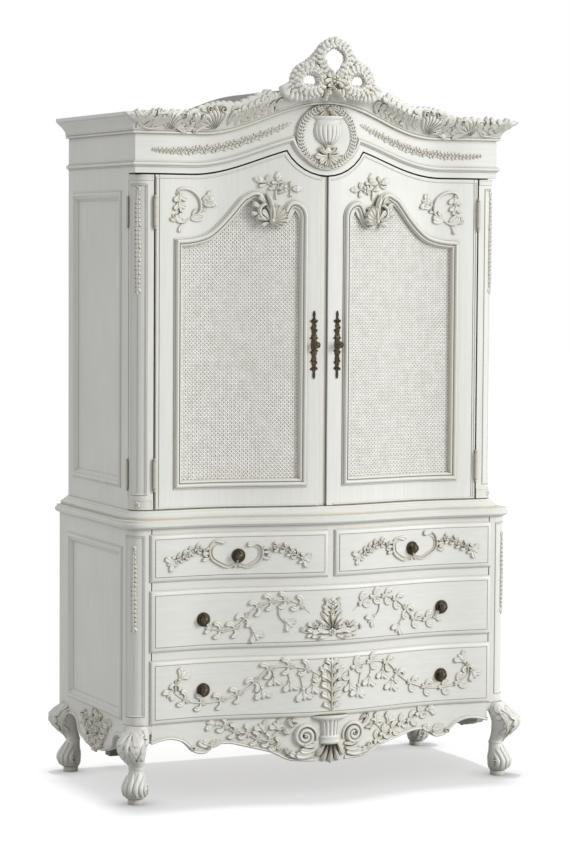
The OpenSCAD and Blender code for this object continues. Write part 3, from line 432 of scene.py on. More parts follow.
# A domed boss, such as a berry, bud or pearl
def boss(centre, radius, height, around=10, up=4):
    turn = 2 * math.pi * np.arange(around) / around
    rings = []
    for i in range(up + 1):
        a = math.pi / 2 * i / up * 0.96
        r = radius * math.cos(a)
        rings.append(np.column_stack([centre[0] + r * np.cos(turn), centre[1] + r * np.sin(turn),
                                      np.full(around, height * math.sin(a))]))
    return loft([rings[0] - [0, 0, sunk]] + rings)


# An open flower: petals round a boss
def flower(centre, radius, height, petals=5, turn=0.0):
    parts = []
    for i in range(petals):
        angle = turn + 360 * i / petals
        a = math.radians(angle)
        foot = (centre[0] + 0.12 * radius * math.cos(a), centre[1] + 0.12 * radius * math.sin(a))
        parts.append(leaf(foot, angle, radius * 0.95, radius * 6.072 / petals, height, rows=6, full=0.6,
                ribs=7))
    return parts + [boss(centre, radius * 0.27, height * 1.15)]


# A bell flower or husk, hanging from its foot towards angle
def bell(foot, angle, length, width, height):
    parts = [leaf(foot, angle + 24 * k, length * (1 - 0.14 * abs(k)), width * 0.62,
            height * (1 - 0.25 * abs(k)), curl=14 * k, rows=7, full=0.62, ribs=7) for k in (-1, 1, 0)]
    return parts + [boss(foot, width * 0.24, height * 0.9, around=8, up=3)]


# A scroll: a stem that winds in to a round eye
def scroll(centre, radius, turns, start, way, width, height, eye=0.26):
    t = np.linspace(0, 1, int(14 * turns) + 4)
    a = np.radians(start) + way * 2 * math.pi * turns * t
    r = radius * (1 - (1 - eye) * t ** 0.8)
    line = np.stack([centre[0] + r * np.cos(a), centre[1] + r * np.sin(a)], 1)
    return [stem(line, width, height, (0.5, 0.8), 2), boss(centre, radius * eye * 0.9, height * 1.1)]


# A shell or gadroon fan: ribs that spread from the hub between two angles
def fan(hub, inner, outer, angle0, angle1, ribs, height, swirl):
    n = ribs * 6 + 1
    spread = np.radians(np.linspace(angle0, angle1, n))
    wave = np.abs(np.sin(math.pi * ribs * np.linspace(0, 1, n)))
    rings = []
    for t in np.linspace(0, 1, 7):
        a = spread + math.radians(swirl) * t
        reach = (inner + (outer - inner) * t) * (1 - 0.1 * t ** 2 * (1 - wave ** 0.6))
        swell = 0.3 + 0.7 * math.sin(math.pi * min(1, 0.35 + 0.67 * t)) ** 0.7
        top = np.stack([hub[0] + reach * np.cos(a), hub[1] + reach * np.sin(a),
                        height * swell * (0.45 + 0.55 * wave ** 0.7)], 1)
        rings.append(np.vstack([top, [(*top[-1][:2], -sunk), (*top[0][:2], -sunk)]]))
    return loft(rings)


# Which way a mitre runs at each point of a line, and how far it reaches
def mitres(before, p, after):
    a, b = unit(p - before), unit(after - p)
    s = unit(a + b)
    return np.stack([-s[:, 1], s[:, 0]], 1) / np.maximum(np.sum(s * a, axis=1), 0.45)[:, None]


# A moulding along a flat line, mitred at its corners; the profile is (to the left of the line, height)
def moulding(line, profile, closed=False):
    p = np.asarray(line, float)
    before = np.roll(p, 1, axis=0)
    after = np.roll(p, -1, axis=0)
    if not closed:
        before[0] = 2 * p[0] - p[1]
        after[-1] = 2 * p[-1] - p[-2]
    across = mitres(before, p, after)
    return loft([[(*(p[i] + across[i] * q[0]), q[1]) for q in profile] for i in range(len(p))], closed)


# Surfaces that carving is laid on
def bowAt(x, half):
    s = caseLines
    t = np.minimum(np.abs(x) / half, 1)
    inner = -s["hollow"] + (s["bow"] + s["hollow"]) * np.cos(math.pi / 2 * np.minimum(t / s["turn"], 1)) ** 2
    rim = np.sin(math.pi / 2 * np.maximum(t - s["turn"], 0) / (1 - s["turn"])) ** 2
    return np.where(t < s["turn"], inner, -s["hollow"] + s["hollow"] * rim)


def onLower(v, out=0.0):
    return np.stack([v[:, 0], lowerY - bowAt(v[:, 0], caseLines["lowerHalf"]) - out - v[:, 2], v[:, 1]], 1)


def onUpper(v, out=0.0):
    return np.stack([v[:, 0], upperY - bowAt(v[:, 0], caseLines["upperHalf"]) - out - v[:, 2], v[:, 1]], 1)


def swellAt(x, foot, rise, reach):
    return foot + rise * (1 + np.cos(math.pi * np.minimum(np.abs(x) / reach, 1))) / 2


def archAt(x):
    return swellAt(x, crownZ, caseLines["archRise"], caseLines["archReach"])


# The doors' heads: a swell, with a scoop cut in it round the medallion
def headAt(x, lift):
    s = caseLines
    x = np.asarray(x, float)
    curve = swellAt(x, doorCornerZ, s["doorRise"], s["doorReach"]) + lift
    r = s["scoop"] - lift
    return np.where(np.abs(x) >= r, curve, np.minimum(curve, scoopZ - np.sqrt(np.maximum(r * r - x * x, 0))))


def joinParts(parts):
    faces, start = [], 0
    for v, f in parts:
        faces += [tuple(i + start for i in face) for face in f]
        start += len(v)
    return np.vstack([v for v, f in parts]), faces


def makePiece(name, parts, body, material, wrap=None, replaces=(), slot="painted_wood", sharp=38):
    verts, faces = joinParts(parts)
    if wrap is not None:
        verts = wrap(verts)
    mesh = bpy.data.meshes.new(name)
    mesh.from_pydata((verts * mm).tolist(), [], faces)
    work = bmesh.new()
    work.from_mesh(mesh)
    bmesh.ops.recalc_face_normals(work, faces=work.faces)
    work.to_mesh(mesh)
    work.free()
    mesh.shade_smooth()
    mesh.set_sharp_from_angle(angle=math.radians(sharp))
    mesh.materials.append(material)
    piece = addThing(name, mesh)
    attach(piece, body)
    if replaces:
        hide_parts(*replaces)
    print("made", name, len(mesh.polygons))


# The same work on the left and the right; parts are given for the right
def makePair(name, ending, parts, body, material, wrap=None, replaces=True, **more):
    for side, work in (("_left", flipped(parts)), ("_right", parts)):
        stoodFor = [name + side] if replaces else ()
        makePiece(name + side + ending, work, body + side, material, wrap, stoodFor, **more)


# Drawer fronts: lipped boards with a thumb-moulded edge round a flat field
drawerSizes = {
    "plug": 10, "seat": 0.3, "lap": 10, "lip": 3.2, "face": 10, "ovolo": 12, "round": 0.8, "flat": 2.2,
    "quirk": 2.2, "wide": 800, "stations": (30, 60)}


# A board on the front: rings of (inset, height) from its back to its face
def frontBoard(low, high, steps, stations):
    t = np.linspace(0, 1, stations)
    rings = []
    for inset, height in steps:
        x = low.x + inset + (high.x - low.x - 2 * inset) * t
        level = np.full(stations, height)
        rings.append(np.vstack([np.stack([x, np.full(stations, low.z + inset), level], 1),
                                np.stack([x[::-1], np.full(stations, high.z - inset), level], 1)]))
    return boardLoft(rings)


def drawerBoard(name, body, s):
    low, high = boxOf(name)
    lip, face, flat = s["lip"], s["face"], s["flat"]
    steps = [(s["lap"], -s["plug"]), (s["lap"], s["seat"]), (0, s["seat"]), (0, lip - s["round"]),
             (s["round"], lip), (flat, lip)]
    for a in np.linspace(0, math.pi / 2, 7):
        steps.append((flat + s["ovolo"] * (1 - math.cos(a)), lip + 0.4 + (face - lip - 1.4) * math.sin(a)))
    inner = steps[-1][0]
    steps += [(inner + 0.6, face - s["quirk"]), (inner + 1.6, face - s["quirk"]), (inner + 2.2, face)]
    made = frontBoard(low, high, steps, s["stations"][high.x - low.x > s["wide"]])
    makePiece(name + "_moulded", [made], body, paintLevel, onLower, [name])


for name, body in (("small_left_front", "drawer_small_left"), ("small_right_front", "drawer_small_right"),
                   ("middle_front", "drawer_middle"), ("bottom_front", "drawer_bottom")):
    drawerBoard(name, body, drawerSizes)
print("drawers: faced")


# Rows of small carving: a motif set along a line by nodes, then handed back as flat carving
def newTree(name, sockets):
    tree = bpy.data.node_groups.new(name, "GeometryNodeTree")
    tree.interface.new_socket("Geometry", in_out="INPUT", socket_type="NodeSocketGeometry")
    for label, kind in sockets:
        tree.interface.new_socket(label, in_out="INPUT", socket_type=kind)
    tree.interface.new_socket("Geometry", in_out="OUTPUT", socket_type="NodeSocketGeometry")
    return tree, tree.nodes.new("NodeGroupInput"), tree.nodes.new("NodeGroupOutput")


# Ends a tree: its instances are made real and take their material
def dressTree(tree, placed, inlet, made):
    whole = addNode(tree, "GeometryNodeRealizeInstances", {"Geometry": placed.outputs["Instances"]})
    dressed = addNode(tree, "GeometryNodeSetMaterial",
                      {"Geometry": whole.outputs["Geometry"], "Material": inlet["Material"]})
    tree.links.new(dressed.outputs["Geometry"], made.inputs["Geometry"])
    return tree


# A motif at even steps along a path, turned to run along it, smaller towards both ends and swung a little
def motifRowTree():
    tree, given, made = newTree("motifRow", [
        ("Motif", "NodeSocketObject"), ("Spacing", "NodeSocketFloat"), ("Size", "NodeSocketFloat"),
        ("Taper", "NodeSocketFloat"), ("Swing", "NodeSocketFloat"), ("Seed", "NodeSocketInt"),
        ("Material", "NodeSocketMaterial")])
    inlet = given.outputs
    curve = addNode(tree, "GeometryNodeMeshToCurve", {"Mesh": inlet["Geometry"]})
    points = addNode(tree, "GeometryNodeCurveToPoints",
                     {"Curve": curve.outputs["Curve"], "Length": inlet["Spacing"]}, mode="LENGTH").outputs
    motif = addNode(tree, "GeometryNodeObjectInfo", {"Object": inlet["Motif"]})
    along = addNode(tree, "FunctionNodeAlignRotationToVector", {"Vector": points["Tangent"]},
                    axis="X", pivot_axis="Z")
    back = maths(tree, "MULTIPLY", inlet["Swing"], -1.0)
    swing = addNode(tree, "FunctionNodeRandomValue", {"Seed": inlet["Seed"], 2: back, 3: inlet["Swing"]},
                    data_type="FLOAT")
    turn = addNode(tree, "ShaderNodeCombineXYZ", {"Z": swing.outputs[1]})
    turned = addNode(tree, "FunctionNodeRotateRotation", {"Rotation": along.outputs["Rotation"],
            1: turn.outputs["Vector"]}, rotation_space="LOCAL")
    place = addNode(tree, "GeometryNodeInputIndex").outputs["Index"]
    count = addNode(tree, "GeometryNodeAttributeDomainSize", {"Geometry": points["Points"]},
                    component="POINTCLOUD").outputs["Point Count"]
    swell = maths(tree, "SINE", maths(tree, "MULTIPLY", maths(tree, "DIVIDE", place, count), math.pi))
    thin = maths(tree, "SUBTRACT", 1.0, maths(tree, "POWER", swell, 0.4))
    lost = maths(tree, "MULTIPLY", thin, inlet["Taper"])
    size = maths(tree, "MULTIPLY", maths(tree, "SUBTRACT", 1.0, lost), inlet["Size"])
    placed = addNode(tree, "GeometryNodeInstanceOnPoints", {
        "Points": points["Points"], "Instance": motif.outputs["Geometry"],
        "Rotation": turned.outputs["Rotation"], "Scale": size})
    return dressTree(tree, placed, inlet, made)


def flatObject(name, verts, faces, edges=()):
    mesh = bpy.data.meshes.new(name)
    mesh.from_pydata(np.asarray(verts, float).tolist(), list(edges), faces)
    return addThing(name, mesh)


# Runs a tree on an object and gives back the mesh that it makes, as one flat part
def runTree(tree, thing, values):
    worker = thing.modifiers.new("maker", "NODES")
    worker.node_group = tree
    for item in tree.interface.items_tree:
        if item.in_out == "INPUT" and item.name in values:
            worker[item.identifier] = values[item.name]
    seen = thing.evaluated_get(bpy.context.evaluated_depsgraph_get())
    result = bpy.data.meshes.new_from_object(seen)
    verts = np.empty(len(result.vertices) * 3)
    result.vertices.foreach_get("co", verts)
    faces = [tuple(p.vertices) for p in result.polygons]
    thing.modifiers.remove(worker)
    bpy.data.objects.remove(thing)
    return verts.reshape(-1, 3), faces


motifRow = motifRowTree()


def row(line, motif, spacing, size, taper, swing, seed):
    points = np.asarray(line, float)
    flat = np.hstack([points, np.zeros((len(points), 1))])
    path = flatObject("path", flat, [], [(i, i + 1) for i in range(len(points) - 1)])
    motifObject = flatObject("motif", *joinParts(motif))
    made = runTree(motifRow, path, {"Motif": motifObject, "Spacing": spacing, "Size": size, "Taper": taper,
                                    "Swing": math.radians(swing), "Seed": seed, "Material": paintUpright})
    bpy.data.objects.remove(motifObject)
    return made


# A ruffled band: ribs cross it at a slant, and its edges are scalloped
def ruffle(points, widths, height, pitch, slant, base=-sunk, count=8, scallop=0.14, full=2.6, groove=0.26):
    line = evenLine(smoothLine(points, count), pitch / 6)
    t = np.linspace(0, 1, len(line))
    ribs = max(2, round(len(line) / 6))
    width = np.interp(t, np.linspace(0, 1, len(widths)), widths)
    s = np.linspace(-1, 1, 9)
    rings = []
    for p, side, k, w in zip(line, leftOf(line), t, width):
        wave = np.abs(np.sin(math.pi * (ribs * k + slant * (1 - np.abs(s)))))
        edge = 1 - scallop * (1 - wave[0] ** 0.7)
        h = base + (height - base) * (1 - np.abs(s) ** full) ** 0.5 * (1 - groove + groove * wave ** 0.8)
        rings.append(np.column_stack([p + side * s[:, None] * w / 2 * edge, h]))
    return loft(rings)


# A curled leaf: thin at its foot, it swells and turns over into a round tip, grooved along its middle
def curled(x, z, angle, size, turn, height=7.5, fat=0.26):
    t = np.linspace(0, 1, 10)
    bend = np.radians(angle) + np.radians(turn) * t ** 1.3
    ahead = np.column_stack([np.cos(bend), np.sin(bend)])
    spine = np.array([x, z]) + np.vstack([[0, 0], np.cumsum(ahead[:-1] * size / 9, axis=0)])
    tip = np.sqrt(np.maximum(0, 1 - np.maximum(0, (t - 0.72) / 0.28) ** 2))
    half = size * (0.075 + fat * t ** 0.8) * tip + 0.2
    s = np.linspace(-1, 1, 7)
    top = height * np.sqrt(1 - np.abs(s) ** 3) * (1 - 0.35 * np.exp(-((s - 0.1) / 0.2) ** 2))
    rings = []
    for p, d, w, k in zip(spine, ahead, half, t):
        ring = np.column_stack([p + np.outer(s * w, (-d[1], d[0])), top * (0.55 + 0.45 * k)])
        rings.append(np.vstack([ring, [(*ring[-1, :2], -sunk), (*ring[0, :2], -sunk)]]))
    return loft(rings)


# What grows at a joint of the vine: two leaves that part on one side and one that hangs on the other
def joint(x, z, angle, size, way=1, height=7.5):
    return [curled(x, z, angle + a * way, size * k, turn * way, height) for a, k, turn in
            ((70, 1.05, 175), (20, 0.62, -60), (-70, 1.1, -200), (-30, 0.55, 60))]


# A tulip or bell flower: two lips that turn out, a petal between them and a round calyx
def tulip(x, z, angle, size, height=7.5):
    parts = [curled(x, z, angle + 16 * k, size, 75 * k, height, 0.27) for k in (-1, 1)]
    parts += [leaf((x, z), angle, size * 0.88, size * 0.48, height * 1.15, full=0.62, rows=8, ribs=7)]
    return parts + [boss((x, z), 0.15 * size, height, around=9, up=3)]


# A vine with what grows at its joints, in turns on one side and the other
def vine(points, width, joints, way, size):
    parts = [stem(points, width, 4.5)]
    line = evenLine(smoothLine(points, 8), 2)
    for k, share in enumerate(joints):
        i = min(int(share * len(line)), len(line) - 3)
        d = line[i + 2] - line[i]
        parts += joint(*line[i], math.degrees(math.atan2(d[1], d[0])), size, way * (1 if k % 2 else -1))
    return parts


def curls(rows, height=7.5):
    return [curled(*row, height=height) for row in rows]


def stems(rows, share, thin=(0.35, 0.25)):
    return [stem(points, width, width * share, thin) for width, points in rows]


def tulips(rows, height=7.5):
    return sum([tulip(*row, height=height) for row in rows], [])


# A relief turned on an upright axis, such as an urn; its profile is (height up, half width, relief, fluted)
def turnedRelief(profile, flutes, cut, around):
    theta = np.linspace(0, math.pi, around)
    rings = []
    for up, half, relief, grooved in profile:
        groove = 1 - cut * grooved * (1 - np.abs(np.sin(flutes * theta)) ** 0.6)
        ring = np.column_stack([half * np.cos(theta), np.full(around, up), relief * np.sin(theta) * groove])
        rings.append(np.vstack([ring, [[-half, up, -sunk], [half, up, -sunk]]]))
    return loft(rings)


# Mouldings round the cupboard: along a line on the front, mitred at the corners and back along the sides
def roundCupboard(line, profile):
    p = np.asarray(line, float)
    up = mitres(np.vstack([2 * p[0] - p[1], p[:-1]]), p, np.vstack([p[1:], 2 * p[-1] - p[-2]]))
    q = np.asarray(profile, float)
    rings = [onUpper(np.column_stack([p[i] + up[i] * q[:, :1], q[:, 1]])) for i in range(1, len(p) - 1)]
    corners, backs = ([np.column_stack([k * (upperX + q[:, 1]), y, p[0][1] + q[:, 0]]) for k in (-1, 1)]
                      for y in (upperY - q[:, 1], np.full(len(q), backY)))
    return loft([backs[0], corners[0]] + rings + [corners[1], backs[1]])


# The line of the doors' heads, lifted, with a point on each corner of the scoop
def headLine(s):
    lift, step, r = s["lift"], s["step"], caseLines["scoop"] - s["lift"]
    dense = np.linspace(0, caseLines["scoop"], 3000)
    dense = dense[dense <= r]
    curve = swellAt(dense, doorCornerZ, caseLines["doorRise"], caseLines["doorReach"]) + lift
    corner = dense[np.argmin(np.abs(curve - scoopZ + np.sqrt(r * r - dense * dense)))]
    half = np.concatenate([np.arange(0, corner - step / 2, step), [corner],
                           np.arange(corner + step, upperX - step / 2, step), [upperX]])
    x = np.concatenate([-half[::-1], half[1:]])
    return np.column_stack([x, headAt(x, lift)])


astragalSizes = {
    "lift": 33, "step": 8,
    "profile": ((-9, 0.3), (-9, 2.5), (-8, 4), (-6.4, 4.2), (-5.6, 3.4), (-5, 5.4), (-3.4, 7.9),
        (-1.2, 9.1), (1.2, 9.1), (3.4, 7.9), (5, 5.4), (5.6, 3.4), (6.4, 4.2), (8, 4), (9, 2.5), (9, 0.3))}
makePiece("astragal_turned", [roundCupboard(headLine(astragalSizes), astragalSizes["profile"])], "root",
          paintLevel, None, ["astragal"])

# Crown: beads, a cove and a square edge, arched over the middle, with leaves laid over the cove
crownSizes = {
    "profile": ((0, 0.3), (0, 8.5), (0.8, 10.2), (3.2, 11), (5.6, 10.2), (6.6, 8.6), (8, 8.4), (8.6, 10),
        (10.4, 12), (12.6, 12), (14, 10.8), (15, 11), (19, 12.6), (25, 16), (31, 20.6), (37, 27),
        (42, 33.4), (45, 36.8), (47.5, 38.4), (49.4, 38.6), (50, 41.4), (51.6, 43.4), (54, 44), (60, 44),
        (62.2, 43.3), (63, 42), (63, 0.3)), "in": 172, "band": 13, "thick": 12, "lobes": 19,
    "tops": ((172, 90), (200, 88), (240, 86), (280, 84), (310, 94), (340, 99), (372, 98), (410, 92),
        (440, 78), (470, 72), (512, 74), (548, 68), (622, 68)), "cove": 11, "stations": 120,
    "curls": ((-628, 34, 60, 42, -60), (-614, 24, 56, 50, -65), (-596, 17, 52, 54, -60),
        (-576, 15, 50, 54, -60), (-558, 18, 56, 48, -60), (-604, 20, 15, 34, 50), (-620, 30, 100, 44, 50),
        (-600, 28, 128, 50, 40), (-582, 40, 100, 34, -70), (-560, 42, 110, 34, -80),
        (-540, 30, 80, 34, -70), (-482, 20, 70, 44, -70), (-470, 16, 10, 26, 60), (-468, 40, 60, 30, 80),
        (-432, 20, 40, 30, 60), (-424, 18, 95, 50, 50), (-412, 22, 70, 40, 60), (-398, 60, 110, 30, 120),
        (-372, 68, 80, 26, -120), (-346, 66, 60, 30, -110), (-320, 20, 30, 36, 60), (-318, 24, 70, 46, -70),
        (-306, 58, 60, 30, -120)),
    "acanthus": ((-636, 60), (-628, 40), (-610, 22), (-585, 14), (-560, 16), (-540, 26)),
    "climb": ((-304, 20), (-270, 30), (-236, 32), (-204, 38), (-174, 48)),
    "shells": (((-512, 12), 6, 56, 15, 168, 8, 9.5, -30), ((-366, 12), 8, 70, 22, 168, 9, 10, 22)),
    "scrolls": (((-478, 54), 11, 1.3, 250, 1, 6, 10), ((-334, 70), 15, 1.4, 200, -1, 8, 13),
        ((-390, 74), 12, 1.3, -20, 1, 7, 12))}
crownX = np.concatenate([[-upperX], np.arange(-612, 613, 12), [upperX]])
crownParts = [roundCupboard(np.column_stack([crownX, archAt(crownX)]), crownSizes["profile"])]
makePiece("crown_moulded", crownParts, "root", paintLevel, None, ["crown"])
crownFace = np.array(crownSizes["profile"][crownSizes["cove"]:-1])


# Flat carving for the crown: (along, up from the crown's foot, height over the cove)
def onCrown(v):
    slope = (archAt(v[:, 0] + 1) - archAt(v[:, 0] - 1)) / 2
    m = unit(np.column_stack([-slope, np.ones(len(v))]))
    x = v[:, 0] + v[:, 1] * m[:, 0]
    out = np.interp(v[:, 1], crownFace[:, 0], crownFace[:, 1])
    y = upperY - bowAt(x, caseLines["upperHalf"]) - out - v[:, 2]
    return np.column_stack([x, y, archAt(v[:, 0]) + v[:, 1] * m[:, 1]])


# The bed under the crown's leaves, which rises past the moulding in lobes
def crownBand(s):
    tops = np.array(s["tops"])
    rings = []
    for x in np.linspace(s["in"], upperX + 2, s["stations"]):
        t = (x - s["in"]) / (upperX - s["in"])
        top = np.interp(x, tops[:, 0], tops[:, 1]) - 7 + 8 * abs(math.sin(math.pi * s["lobes"] * t))
        top = max(top, 64)
        ring = [(s["band"], -sunk), (s["band"], 1.5), (30, 3), (48, 2.5), (58, 2.5), (top - 2, 2.5),
                (top, 0.5), (top, -s["thick"]), (63.8, -s["thick"]), (63.4, -sunk), (50, -sunk), (30, -sunk)]
        rings.append([(x, up, h) for up, h in ring])
    return loft(rings)


# Left half, from the corner to the middle: acanthus, a swirled shell, a rosette, a palmette, and leaves
# that climb on both sides of a stem
s = crownSizes
crownParts = [crownBand(s)] + curls(s["curls"], 11)
crownParts += [leaf((-596, 30), 156, 82, 34, 11, 4, 8), stem(s["acanthus"], 8, 8)]
crownParts += [fan(*values) for values in s["shells"]]
crownParts += sum([scroll(*values) for values in s["scrolls"]], [])
crownParts += flower((-450, 38), 19, 10, 4, 45) + [boss((-364, 78), 8, 13)]
climb = smoothLine(s["climb"], 3)
crownParts += [stem(climb, 7, 7)]
for k, (x, z) in enumerate(climb[1:-1]):
    if k % 2:
        crownParts += curls(((x, z, 58, 44, -90), (x + 4, z, -34, 26, 70)), 10)
    else:
        crownParts += curls(((x, z, 104, 42, -120), (x, z + 4, 24, 32, 90)), 10)
for x in range(-296, -168, 21):
    crownParts += curls(((x, 15, 38, 38, 70), (x + 9, 14, 106, 30, -90)), 9)
makePiece("crown_leaves", both(crownParts), "root", paintLevel, onCrown, ["crown_carving"])
print("crown: carved")

# Crest: loops of overlapping laurel leaves, tied in a knot over two gadrooned shells
crestSizes = {
    "back": 44.5, "foot": 1, "fronds": ((38, 25), (-38, 25), (0, 20)),
    "top": ((-3, 2228), (-26, 2250), (-45, 2281), (-41, 2312), (0, 2337), (41, 2312), (45, 2281),
        (26, 2250), (3, 2228)), "topWidths": (22, 30, 40, 46, 44, 46, 40, 30, 22),
    "flank": ((14, 2342), (42, 2322), (62, 2291), (87, 2268), (119, 2250), (134, 2222), (133, 2194)),
    "flankWidths": (16, 26, 38, 40, 34, 28, 18), "loop": (79, 2220, 39, 34, 168, -352),
    "loopWidths": (58, 50, 44, 44, 44, 46, 56),
    "shell": ((10, 36), (40, 39), (80, 44), (118, 52), (146, 68), (158, 92)),
    "shellWidths": (20, 38, 50, 56, 58, 44),
    "knot": ((4, 2224, 48, 30, -60), (5, 2222, 8, 34, -60), (4, 2220, -28, 30, -50),
        (3, 2226, 78, 28, -40)),
    "tails": (((-22, 2214), (-4, 2196), (16, 2180), (32, 2158)),
        ((4, 2214), (-14, 2200), (-26, 2184), (-34, 2158))), "tailWidths": (8, 12, 14, 17)}


def onCrest(v):
    return onUpper(v, crestSizes["back"])


laurelFrond = [leaf((0, 0), a, l, 17, 7.5, rows=7, full=0.55, ribs=7) for a, l in crestSizes["fronds"]]
laurelFrond += [boss((2, 0), 3.4, 9, 7, 3)]


# A band of the crest: a scalloped bed with overlapping laurel leaves on it
def laurelBand(points, widths, height, size, seed):
    bed = ruffle(points, [x * 0.86 for x in widths], height * 0.7, 12, 0.3, crestSizes["foot"], scallop=0.2)
    leaves = row(evenLine(smoothLine(points, 8), 3), laurelFrond, 14, size, 0.25, 14, seed)
    return [bed] + raised([leaves], height * 0.56)


def ellipse(x, z, rx, rz, start, sweep):
    a = np.radians(start + sweep * np.linspace(0, 1, 16))
    return list(zip(x + rx * np.cos(a), z + rz * np.sin(a)))


s = crestSizes
crestParts = laurelBand(s["top"], s["topWidths"], 23, 1.0, 2)
crestParts += both(laurelBand(s["flank"], s["flankWidths"], 16, 0.8, 4) +
                   laurelBand(ellipse(*s["loop"]), s["loopWidths"], 21, 0.95, 3))
shell = [(x, float(archAt(x)) + rise) for x, rise in s["shell"]]
gadroons = ruffle(shell, s["shellWidths"], 12, 13, 0.1, s["foot"], scallop=0.1, full=5, groove=0.5)
crestParts += both([gadroons])
crestParts += both(raised(curls(s["knot"], 10), 12)) + raised(flower((0, 2224), 14, 12, 5), 14)
crestParts += [ruffle(points, s["tailWidths"], 22, 10, 0.6, s["foot"]) for points in s["tails"]]
makePiece("crest_carved", crestParts, "root", paintLevel, onCrest, ["crest"])
print("crest: carved")


# Medallion: a laurel wreath round a fluted urn, tied at the top
medallionSizes = {
    "outer": 103, "band": 25,
    "urn": ((-51, 28, 9, 0), (-46, 28, 11, 0), (-43, 24, 12, 0), (-41, 14, 11, 0), (-36, 9, 9, 0),
        (-32, 9, 9, 0), (-30, 14, 12, 0), (-27, 14, 12, 0), (-25, 18, 13, 1), (-16, 30, 17, 1),
        (-6, 40, 19, 1), (6, 46, 20, 1), (18, 49, 20, 1), (30, 48, 19, 1), (36, 46, 18, 0), (38, 48, 19, 0),
        (41, 48, 19, 0), (43, 43, 17, 0), (52, 44, 17, 0), (56, 51, 20, 0), (60, 56, 21, 0),
        (64, 56, 21, 0), (65, 52, 18, 0)), "fronds": ((40, 18), (-40, 18), (0, 15)),
    "rim": ((-2, -sunk), (-2, 6), (-1, 8), (1, 8), (2, 6), (2, -sunk)),
    "bed": ((-10, -sunk), (-10, 2), (-5, 4), (0, 5), (5, 4), (10, 2), (10, -sunk)),
    "rows": ((-84, 78, 3), (264, 102, 5)),
    "bow": ((4, 84, 20, 36, -80), (4, 86, 62, 24, -60), (4, 80, -24, 34, -60), (3, 78, -60, 22, 60)),
    "foot": ((2, -56, -58, 40, 60), (2, -58, -20, 46, 60), (2, -54, 16, 34, 70), (2, -64, -84, 30, 30)),
    "cup": ((88, 0), (62, 20), (36, 30))}


def arc(centre, radius, a0, a1, n):
    a = np.radians(np.linspace(a0, a1, n))
    return np.column_stack([centre[0] + radius * np.cos(a), centre[1] + radius * np.sin(a)])


# A dished disc: flat round its edge and lower in the middle
def disc(centre, radius, height):
    a = np.radians(np.linspace(0, 360, 64, endpoint=False))
    return loft([np.column_stack([centre[0] + r * np.cos(a), centre[1] + r * np.sin(a), np.full(64, h)])
                 for r, h in ((radius, -sunk), (radius, height), (radius * 0.72, height),
                              (radius * 0.5, height * 0.4), (radius * 0.02, height * 0.4))])


def fromMedal(rows):
    return [(x, medalZ + z, *rest) for x, z, *rest in rows]


s = medallionSizes
laurel = [leaf((0, 0), a, l, 9, 8, rows=6, full=0.45, ribs=5) for a, l in s["fronds"]]
laurel += [boss((3, 0), 2.6, 9, 6, 2)]
centre = (0, medalZ)
wreathRadius = s["outer"] - s["band"] / 2
parts = [disc(centre, s["outer"] - 4, 6)]
for radius, profile in ((s["outer"] - 2, "rim"), (s["outer"] - s["band"] + 2, "rim"), (wreathRadius, "bed")):
    parts.append(moulding(arc(centre, radius, 0, 360, 73)[:-1], s[profile], True))
parts += raised([row(arc(centre, wreathRadius, start, end, 60), laurel, 10.5, 1.12, 0.1, 6, seed)
                 for start, end, seed in s["rows"]], 4)
parts += both(curls(fromMedal(s["bow"]), 17)) + [boss((0, medalZ + 86), 8, 21, 12)]
parts += both(curls(fromMedal(s["foot"]), 18))
parts.append(turnedRelief([(medalZ + up, *rest) for up, *rest in s["urn"]], 9, 0.2, 73))
parts += both([leaf((1, medalZ - 27), a, 20, 10, 20, 0, c) for a, c in s["cup"]])


def underCrown(v):
    v = v.copy()
    v[:, 1] = np.minimum(v[:, 1], archAt(v[:, 0]) - 0.6)
    return onUpper(v)


makePiece("medallion_carved", parts, "root", paintLevel, underCrown, ["medallion"])
print("medallion: carved")

# Garlands on the frieze: a beaded rope of small leaves and flowers on each side of the medallion
garlandSizes = {
    "leaves": ((0, 48), (0, -48), (-4, 132), (-4, -132)), "widths": (5, 15, 18, 19, 19, 18, 15, 5),
    "line": ((120, 2089), (165, 2070), (209, 2053), (270, 2031), (338, 2012), (436, 2001), (507, 1998),
        (562, 2001))}
garland = [leaf((x, 0), a, 14, 11, 5, rows=6, full=0.55, ribs=5) for x, a in garlandSizes["leaves"]]
garland += flower((3, 1), 7.5, 7, 4)
ropeLine = evenLine(smoothLine(garlandSizes["line"], 8), 4)
ropeBed = ruffle(ropeLine[::5], garlandSizes["widths"], 3.4, 9, 0.4, count=3, scallop=0.2)
garlandParts = [ropeBed, row(ropeLine, garland, 12.5, 1.15, 0.8, 24, 7),
    stem(ropeLine[::6], 6, 3, (0.2, 0.2))]
makePiece("frieze_garlands", both(garlandParts), "root", paintLevel, onUpper)

